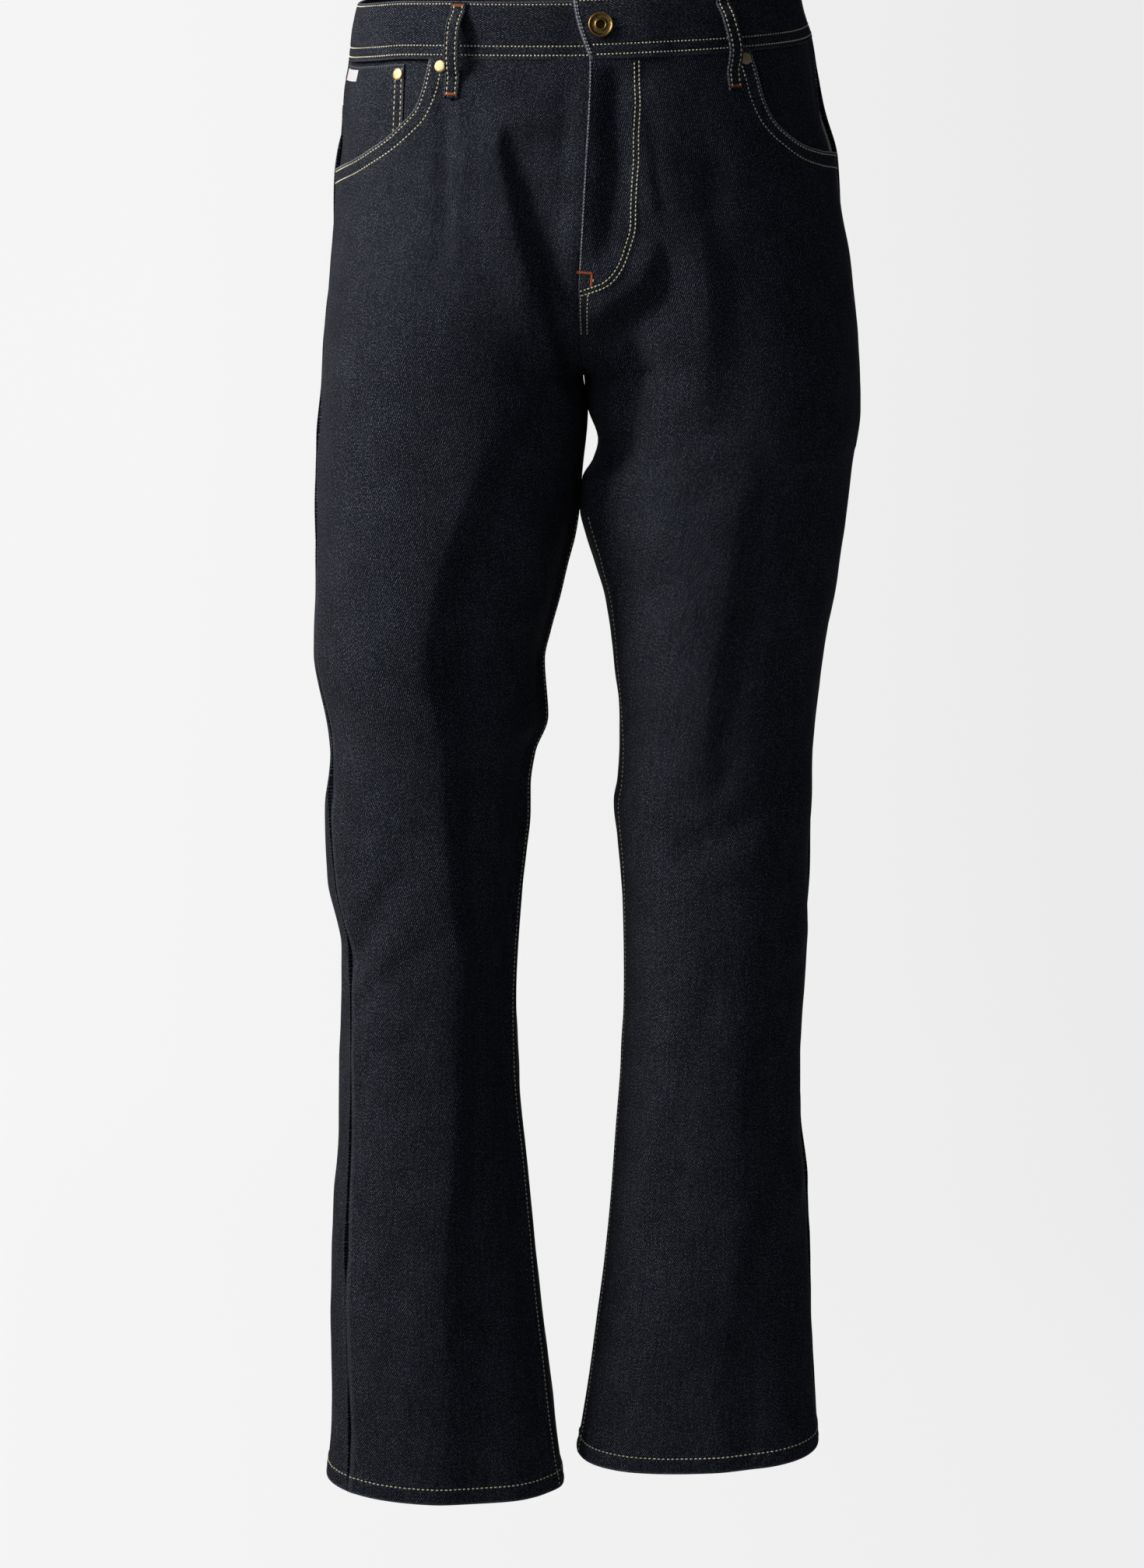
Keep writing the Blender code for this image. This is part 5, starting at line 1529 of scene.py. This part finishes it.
def loop_seams():
    """A row down each side of every loop, and a bartack at its top and bottom."""
    first, last = LOOP_LIFT[0][0], LOOP_LIFT[-1][0]
    level = np.linspace(first + 2.0, last - 2.0, 70)
    rows, tacks = [], []
    tack_aside = np.linspace(-4.0, 4.0, 17)
    tack_zigzag = np.where(np.arange(17) % 2, 0.12, -0.12)
    for at in map(loop_place, LOOPS):
        for aside in (-LOOP_ROW, LOOP_ROW):
            plain, out, lift = at(np.full(70, aside), level)
            rows.append((plain + out * (lift + LOOP_WALL - 0.1)[:, None], out))
        for end in (first + 2.6, last - 3.2):
            plain, out, lift = at(tack_aside, end + tack_zigzag)
            low, _, low_lift = at(tack_aside, end + tack_zigzag + 1.0)
            down = unit(low + out * low_lift[:, None] - plain - out * lift[:, None])
            tacks.append((plain + out * (lift + LOOP_WALL)[:, None], down, out, np.full(17, 2.1)))
    seam("belt_loop_stitches", rows, PALE_THREAD, 260)
    tacks = (np.concatenate(values) for values in zip(*tacks))
    stitch_mesh("belt_loop_bartacks", *tacks, RUST_THREAD, FINE_THREAD)


def bartack(name, points, out, width, finish, pitch=0.55):
    """A dense satin bar: short stitches set square across a line."""
    run = run_of(points)
    at = np.arange(0, run[-1], pitch)
    centre = read_along(points, run, at)
    ahead = read_along(points, run, at + 0.1) - centre
    behind = centre - read_along(points, run, at - 0.1)
    normal = unit(read_along(out, run, at))
    across = unit(np.cross(normal, unit(ahead + behind)))
    stitch_mesh(name, centre, across, normal, np.full(len(at), width), finish, FINE_THREAD)


def fly_bartack():
    """A bent bar over the end of the fly's opening, and the short end of it on the right front."""
    drop = np.linspace(200.0, 200.6, 6)
    level = beside_rise(drop, np.linspace(0.6, 9.5, 6), 0.1)
    upright = beside_rise(np.linspace(201.0, 210.0, 8), 9.8, 0.1)
    points, out = (np.concatenate(pair) for pair in zip(level, upright))
    bartack("fly_bartack", points, out, 2.0, RUST_THREAD)
    drop = np.linspace(200.2, 200.0, 4)
    reach = CLOTH["right", "front"].width(drop) - np.linspace(0.6, 2.2, 4)
    bartack("fly_bartack_end", *on_front("right", reach, drop, 0.1), 2.0, RUST_THREAD)


def lower_bartack():
    places = ((11.0, 203.0, 208.0), (8.0, 215.5, 218.0))
    lines = [beside_rise(np.linspace(first, last, 5), inset, 0.1) for inset, first, last in places]
    seam("fly_end_tacks", lines, WHITE_THREAD, 280)


def button_place():
    """The button's seat on the waistband, its outward direction and the way down."""
    turn = turn_at("left", "front", BUTTON_ACROSS, 0.0)
    small = math.radians(FINE_STEP)
    top, bottom = plain_form("left", turn, np.array([0.0, BAND_DROP]))
    run = plain_form("left", turn + small, 0.0) - plain_form("left", turn - small, 0.0)
    out = unit(np.cross(run, bottom - top))
    place = top + (bottom - top) * BUTTON_DROP / BAND_DROP + out * (BAND_PROUD + LAP + SEAM_GAP)
    return place, out, unit(bottom - top)


def button():
    """The waist button, seated on the waistband's upper end, and the worked end of its buttonhole."""
    place, out, down = button_place()
    made = lathe("waist_button_metal", BUTTON_PROFILE, place, out, BUTTON_BRASS, 96, closed=True)
    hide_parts("waist_button")
    # the tack fills the floor of the button's hole; its dark brass paints the shade there
    tack = lathe("button_tack", TACK_PROFILE, place, out, TACK_BRASS_WITH_PAINTED_SHADE, 48)
    side = np.cross(down, out)
    side = side if side[0] > 0 else -side
    turn = np.linspace(-math.pi / 2, math.pi / 2, 40)[:, None]
    line = place + side * (8.0 + 3.4 * np.cos(turn)) + down * (2.2 * np.sin(turn)) - out * 0.2
    bartack("buttonhole_end", line, np.repeat(out[None], len(line), axis=0), 1.8, NAVY_THREAD, 0.5)


def rivets():
    for name, leg, reach, drop, sunk in RIVETS:
        cloth = CLOTH[leg, "front"]
        reach, drop = np.array(reach), np.array(drop)
        surface = float(coin_rise(reach, drop)) if sunk else 0.0
        out = cloth.normal(reach, drop)
        place = cloth.plain(reach, drop) + out * (surface + SEAM_GAP + float(fold_rise(cloth, reach, drop)))
        made = lathe("rivet_metal_" + name, RIVET_PROFILE, place, out, PALE_BRASS, 48)
        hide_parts("rivet_" + name)


def srgb(code):
    """An sRGB hex colour as linear red, green, blue and alpha."""
    parts = [int(code[i:i + 2], 16) / 255 for i in (1, 3, 5)]
    return (*(v / 12.92 if v <= 0.04045 else ((v + 0.055) / 1.055) ** 2.4 for v in parts), 1.0)


def add(tree, kind, inputs=None, **settings):
    """Add one node and give it its settings. Each input is a value, or a socket or node that feeds it; a
    node does so by its first output that is in use."""
    node = tree.nodes.new("ShaderNode" + kind)
    for key, value in settings.items():
        setattr(node, key, value)
    for key, value in (inputs or {}).items():
        if isinstance(value, bpy.types.Node):
            value = next(socket for socket in value.outputs if socket.enabled)
        if isinstance(value, bpy.types.NodeSocket):
            tree.links.new(value, node.inputs[key])
        else:
            node.inputs[key].default_value = value
    return node


def new_finish(name):
    made = bpy.data.materials.new(name)
    made.use_nodes = True
    made.node_tree.nodes.clear()
    return made, made.node_tree


def denim(name, dark, light, weft, worn):
    """Indigo denim: a 3x1 right-hand twill of dyed warp over undyed weft, ring spun, so the yarns are
    uneven. The eye gets steep dark wales with pale flecks between them, and paler rope-dyed cores
    where a folded edge has rubbed. Wales are 1.0 mm apart on the real cloth and 1.25 mm here, since
    finer ones don't show."""
    made, tree = new_finish(name)
    uv = add(tree, "UVMap", uv_map="cloth")
    place = add(tree, "VectorMath", {0: uv, "Scale": 1000.0}, operation="SCALE")
    wander = add(tree, "TexNoise", {"Vector": place, "Scale": 0.16, "Detail": 2.0}, noise_dimensions="2D")
    angle = math.radians(WALE_SLOPE)
    wave = math.tau / WALE_PITCH
    wale = add(tree, "VectorMath", {0: place, 1: (math.sin(angle) * wave, math.cos(angle) * wave, 0)},
               operation="DOT_PRODUCT")
    phase = add(tree, "Math", {0: wander, 1: 9.0, 2: wale}, operation="MULTIPLY_ADD")
    ridge = add(tree, "Math", {0: phase}, operation="SINE")
    stretched = add(tree, "VectorMath", {0: place, 1: (1.25, 0.80, 1.0)}, operation="MULTIPLY")
    yarn = add(tree, "TexNoise", {"Vector": stretched, "Scale": 1.0, "Detail": 3.0, "Roughness": 0.7},
               noise_dimensions="2D")
    slub = add(tree, "VectorMath", {0: place, 1: (0.55, 0.035, 1.0)}, operation="MULTIPLY")
    streak = add(tree, "TexNoise", {"Vector": slub, "Scale": 1.0, "Detail": 2.0}, noise_dimensions="2D")
    cloud = add(tree, "TexNoise", {"Vector": place, "Scale": 0.028, "Detail": 3.0}, noise_dimensions="2D")
    weave = add(tree, "Math", {0: ridge, 1: 0.20, 2: yarn}, operation="MULTIPLY_ADD")
    tone = add(tree, "MapRange", {"Value": weave, "From Min": 0.30, "From Max": 0.76})
    base = add(tree, "Mix", {"Factor": tone, "A": srgb(dark), "B": srgb(light)}, data_type="RGBA")
    fleck = add(tree, "MapRange", {"Value": weave, "From Min": 0.67, "From Max": 0.84})
    flecked = add(tree, "Mix", {"Factor": fleck, "A": base, "B": srgb(weft)}, data_type="RGBA")
    lines = add(tree, "MapRange",
                {"Value": streak, "From Min": 0.3, "From Max": 0.7, "To Min": 0.82, "To Max": 1.18})
    clouds = add(tree, "MapRange",
                 {"Value": cloud, "From Min": 0.3, "From Max": 0.7, "To Min": 0.86, "To Max": 1.12})
    level = add(tree, "Math", {0: lines, 1: clouds}, operation="MULTIPLY")
    toned = add(tree, "VectorMath", {0: flecked, "Scale": level}, operation="SCALE")
    wear = add(tree, "Attribute", attribute_name="wear")
    patchy = add(tree, "MapRange", {"Value": weave, "From Min": 0.25, "From Max": 0.75})
    rub = add(tree, "Math", {0: wear.outputs["Fac"], 1: patchy}, operation="MULTIPLY")
    colour = add(tree, "Mix", {"Factor": rub, "A": toned, "B": srgb(worn)}, data_type="RGBA")
    row = add(tree, "Attribute", attribute_name="row_away")
    dip = add(tree, "MapRange", {"Value": row.outputs["Fac"], "From Min": 0.0, "From Max": 1.4},
              interpolation_type="SMOOTHSTEP")
    relief = add(tree, "Math", {0: weave, 1: 0.22, 2: dip}, operation="MULTIPLY_ADD")
    bump = add(tree, "Bump", {"Height": relief, "Strength": 0.75, "Distance": 0.0008})
    shader = add(tree, "BsdfPrincipled", {
        "Base Color": colour,
        "Roughness": 0.92,
        "Specular IOR Level": 0.06,
        "Sheen Weight": 0.02,
        "Sheen Roughness": 0.5,
        "Normal": bump,
    })
    add(tree, "OutputMaterial", {"Surface": shader})
    return made


def thread(name, light, dark):
    """Core-spun polyester and cotton topstitching thread, dyed in the hank: a slight sheen, with its plies
    seen as paler and darker twist along each stitch."""
    made, tree = new_finish(name)
    place = add(tree, "TexCoord")
    twist = add(tree, "TexNoise", {"Vector": place.outputs["Object"], "Scale": 900.0, "Detail": 1.0})
    slow = add(tree, "TexNoise", {"Vector": place.outputs["Object"], "Scale": 60.0, "Detail": 1.0})
    mixed = add(tree, "Math", {0: twist, 1: slow}, operation="ADD")
    tone = add(tree, "MapRange", {"Value": mixed, "From Min": 0.7, "From Max": 1.3})
    colour = add(tree, "Mix", {"Factor": tone, "A": srgb(dark), "B": srgb(light)}, data_type="RGBA")
    bump = add(tree, "Bump", {"Height": twist, "Strength": 0.5, "Distance": 0.0002})
    shader = add(tree, "BsdfPrincipled", {
        "Base Color": colour,
        "Roughness": 0.62,
        "Specular IOR Level": 0.35,
        "Sheen Weight": 0.1,
        "Normal": bump,
    })
    add(tree, "OutputMaterial", {"Surface": shader})
    return made


def brass(name, light, dark, roughness, scale):
    """Copper-zinc brass, stamped, then aged in a chemical bath and tumbled: bright on its high edges,
    brown in its hollows, with fine dents."""
    made, tree = new_finish(name)
    place = add(tree, "Attribute", attribute_name="turned_place")
    blotch = add(tree, "TexNoise", {"Vector": place.outputs["Vector"], "Scale": scale, "Detail": 4.0})
    fine = add(tree, "TexNoise", {"Vector": place.outputs["Vector"], "Scale": scale * 6, "Detail": 2.0})
    edge = add(tree, "NewGeometry")
    high = add(tree, "MapRange", {"Value": edge.outputs["Pointiness"], "From Min": 0.44, "From Max": 0.56})
    blend = add(tree, "Math", {0: high, 1: 0.6, 2: blotch}, operation="MULTIPLY_ADD")
    tone = add(tree, "MapRange", {"Value": blend, "From Min": 0.45, "From Max": 1.0})
    colour = add(tree, "Mix", {"Factor": tone, "A": srgb(dark), "B": srgb(light)}, data_type="RGBA")
    rough = add(tree, "MapRange", {"Value": fine, "To Min": roughness - 0.08, "To Max": roughness + 0.14})
    bump = add(tree, "Bump", {"Height": fine, "Strength": 0.35, "Distance": 0.00012})
    shader = add(tree, "BsdfPrincipled", {
        "Base Color": colour,
        "Metallic": 1.0,
        "Roughness": rough,
        "Normal": bump,
    })
    add(tree, "OutputMaterial", {"Surface": shader})
    return made


def woven_label(name, warp, weft):
    """Woven polyester tape: fine square ribs with a dull satin face."""
    made, tree = new_finish(name)
    uv = add(tree, "UVMap", uv_map="cloth")
    place = add(tree, "VectorMath", {0: uv, "Scale": 1000.0}, operation="SCALE")
    parts = add(tree, "SeparateXYZ", {0: place})
    ribs = add(tree, "Math", {0: parts.outputs["Y"], 1: math.tau / 1.1}, operation="MULTIPLY")
    rib = add(tree, "Math", {0: ribs}, operation="SINE")
    grain = add(tree, "TexNoise", {"Vector": place, "Scale": 1.6, "Detail": 2.0})
    weave = add(tree, "Math", {0: rib, 1: 0.18, 2: grain}, operation="MULTIPLY_ADD")
    tone = add(tree, "MapRange", {"Value": weave, "From Min": 0.25, "From Max": 0.75})
    colour = add(tree, "Mix", {"Factor": tone, "A": srgb(warp), "B": srgb(weft)}, data_type="RGBA")
    bump = add(tree, "Bump", {"Height": weave, "Strength": 0.5, "Distance": 0.0003})
    shader = add(tree, "BsdfPrincipled", {
        "Base Color": colour,
        "Roughness": 0.6,
        "Sheen Weight": 0.1,
        "Normal": bump,
    })
    add(tree, "OutputMaterial", {"Surface": shader})
    return made


def studio_paper():
    """Matt background paper with a painted glow in place of lamps: behind the garment it glows white, a
    little dimmer towards +X, over a nearly black base; all round it is grey paper with a dim cool glow that
    grows towards the wall and drops to a lower glow high up.
    """
    made, tree = new_finish("background_paper_painted_glow")
    place = add(tree, "TexCoord")
    parts = add(tree, "SeparateXYZ", {0: place.outputs["Object"]})
    behind = add(tree, "MapRange", {"Value": parts.outputs["Y"], "From Min": 0.8, "From Max": 1.3},
                 interpolation_type="SMOOTHSTEP")
    width = add(tree, "Math", {0: parts.outputs["Y"], 1: 0.20, 2: 0.62}, operation="MULTIPLY_ADD")
    aside = add(tree, "Math", {0: parts.outputs["X"]}, operation="ABSOLUTE")
    share = add(tree, "Math", {0: aside, 1: width}, operation="DIVIDE")
    inside = add(tree, "MapRange",
                 {"Value": share, "From Min": 0.85, "From Max": 1.25, "To Min": 1.0, "To Max": 0.0},
                 interpolation_type="SMOOTHSTEP")
    # the patch where the paper glows white behind the garment: a painted pool of light
    lit = add(tree, "Math", {0: behind, 1: inside}, operation="MULTIPLY")
    flat = add(tree, "VectorMath", {0: place.outputs["Object"], 1: (1, 1, 0)}, operation="MULTIPLY")
    radius = add(tree, "VectorMath", {0: flat}, operation="LENGTH")
    rise = add(tree, "MapRange", {"Value": radius, "From Min": 1.8, "From Max": 5.0, "To Max": WALL_GLOW},
               interpolation_type="SMOOTHSTEP")
    high = add(tree, "MapRange",
               {"Value": parts.outputs["Z"], "From Min": 0.8, "From Max": 2.6,
                "To Min": rise, "To Max": 0.02},
               interpolation_type="SMOOTHSTEP")
    # painted falloff: the white glow dims towards +X
    fall = add(tree, "MapRange",
               {"Value": parts.outputs["X"], "From Min": -0.9, "From Max": 1.6,
                "To Min": PAPER_GLOW, "To Max": PAPER_GLOW * 0.88})
    glow = add(tree, "MapRange", {"Value": lit, "To Min": high, "To Max": fall})
    # inside the pool the paper's own colour is nearly black, so the painted glow alone sets its brightness
    dull = add(tree, "MapRange", {"Value": lit, "To Min": 0.42, "To Max": 0.05})
    # painted cool tint: away from behind the garment the glow takes the sky's colour
    cool = add(tree, "Mix", {"Factor": lit, "A": srgb(SKY), "B": srgb("#FFFFFF")}, data_type="RGBA")
    colour = add(tree, "CombineColor", {0: dull, 1: dull, 2: dull})
    shader = add(tree, "BsdfPrincipled", {
        "Base Color": colour,
        "Roughness": 1.0,
        "Specular IOR Level": 0.0,
        "Emission Color": cool,
        "Emission Strength": glow,
    })
    add(tree, "OutputMaterial", {"Surface": shader})
    return made


def stage():
    """A round floor of background paper, 12 m across, that curves up into a wall all round."""
    turn = np.linspace(0, math.pi / 2, 16)
    radius = [np.linspace(0.02, FLOOR_FLAT, 12)[:-1], FLOOR_FLAT + FLOOR_CURVE * np.sin(turn)]
    radius = np.concatenate([*radius, np.full(4, FLOOR_FLAT + FLOOR_CURVE)])
    height = np.concatenate([np.zeros(11), FLOOR_CURVE * (1 - np.cos(turn)), np.linspace(2000, WALL_TOP, 4)])
    around = np.linspace(0, math.tau, 73)[:, None]
    ring = np.broadcast_arrays(radius * np.cos(around), radius * np.sin(around), height + FLOOR_LEVEL)
    points = np.stack(ring, axis=-1)
    faces = quads_of(np.arange(radius.size * around.size).reshape(points.shape[:2])).tolist()
    new_object("background_paper", points.reshape(-1, 3), faces, [studio_paper()])


def area_light(name, place, aim, width, height, power, colour):
    data = bpy.data.lights.new(name, "AREA")
    data.shape = "RECTANGLE"
    data.size, data.size_y = width, height
    data.energy = power
    data.color = srgb(colour)[:3]
    made = bpy.data.objects.new(name, data)
    made.location = place
    made.rotation_euler = (Vector(aim) - Vector(place)).to_track_quat("-Z", "Y").to_euler()
    bpy.context.scene.collection.objects.link(made)


def lights():
    for row in LIGHTS:
        area_light(*row)
    world = bpy.data.worlds.new("studio")
    world.use_nodes = True
    ground = world.node_tree.nodes["Background"]
    ground.inputs["Color"].default_value = srgb(SKY)
    ground.inputs["Strength"].default_value = 0.004
    bpy.context.scene.world = world


def camera():
    data = bpy.data.cameras.new("camera")
    data.sensor_fit = "AUTO"
    data.sensor_width = 36.0
    data.lens = CAMERA_LENS
    made = bpy.data.objects.new("camera", data)
    made.location = CAMERA_PLACE
    made.rotation_euler = (math.radians(90 - CAMERA_TILT), 0.0, 0.0)
    bpy.context.scene.collection.objects.link(made)
    bpy.context.scene.camera = made
    bpy.context.scene.view_settings.view_transform = "Standard"


def cad_finishes():
    """A working finish on every carried-over node that still shows."""
    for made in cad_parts.values():
        if not made.hide_render:
            made.data.materials.clear()
            made.data.materials.append(CLOTH_FINISH[0])


DENIM = denim("raw_indigo_denim", "#080C14", "#2C3341", "#828286", "#868E9E")
DENIM_REVERSE = denim("denim_reverse", "#2E3034", "#55565A", "#77746E", "#8A8A88")
CLOTH_FINISH = [DENIM, DENIM_REVERSE]
TAB_FINISH = woven_label("woven_polyester_tape", "#C6C8D2", "#F2F3F8")
PALE_THREAD = thread("pale_yellow_topstitch_thread", "#F8F6DC", "#CDCBA4")
GREY_THREAD = thread("greyed_edge_thread", "#B9BEC2", "#737A84")
RUST_THREAD = thread("rust_topstitch_thread", "#B4622C", "#7A3A18")
WHITE_THREAD = thread("undyed_thread", "#D8D4C6", "#A09C90")
NAVY_THREAD = thread("navy_buttonhole_thread", "#4A5470", "#262C40")
BUTTON_BRASS = brass("antique_brass", "#A98C58", "#3C2E18", 0.36, 700.0)
# The tack's brass is aged and also made far darker than the button's, painting the shade down in the button's
# hole
TACK_BRASS_WITH_PAINTED_SHADE = brass("aged_brass_tack_painted_shade", "#4A3A22", "#17120B", 0.5, 900.0)
PALE_BRASS = brass("bright_brass_rivet", "#CFBC8C", "#957D4C", 0.45, 700.0)


def main():
    camera()
    stage()
    lights()
    for leg in SIDE:
        for make in (front_panel, back_panel, yoke, pocket_facing, back_pocket):
            make(leg)
    fly_shield()
    coin_pocket()
    woven_tab()
    route = band_route()
    waistband(route)
    for row in LOOPS:
        belt_loop(row)
    button()
    rivets()
    for sew in (mouth_seams, fly_seams, hem_seams, inseam_seams, yoke_seams, patch_seams, coin_seams):
        sew()
    band_seams(route)
    loop_seams()
    fly_bartack()
    lower_bartack()
    cad_finishes()


main()
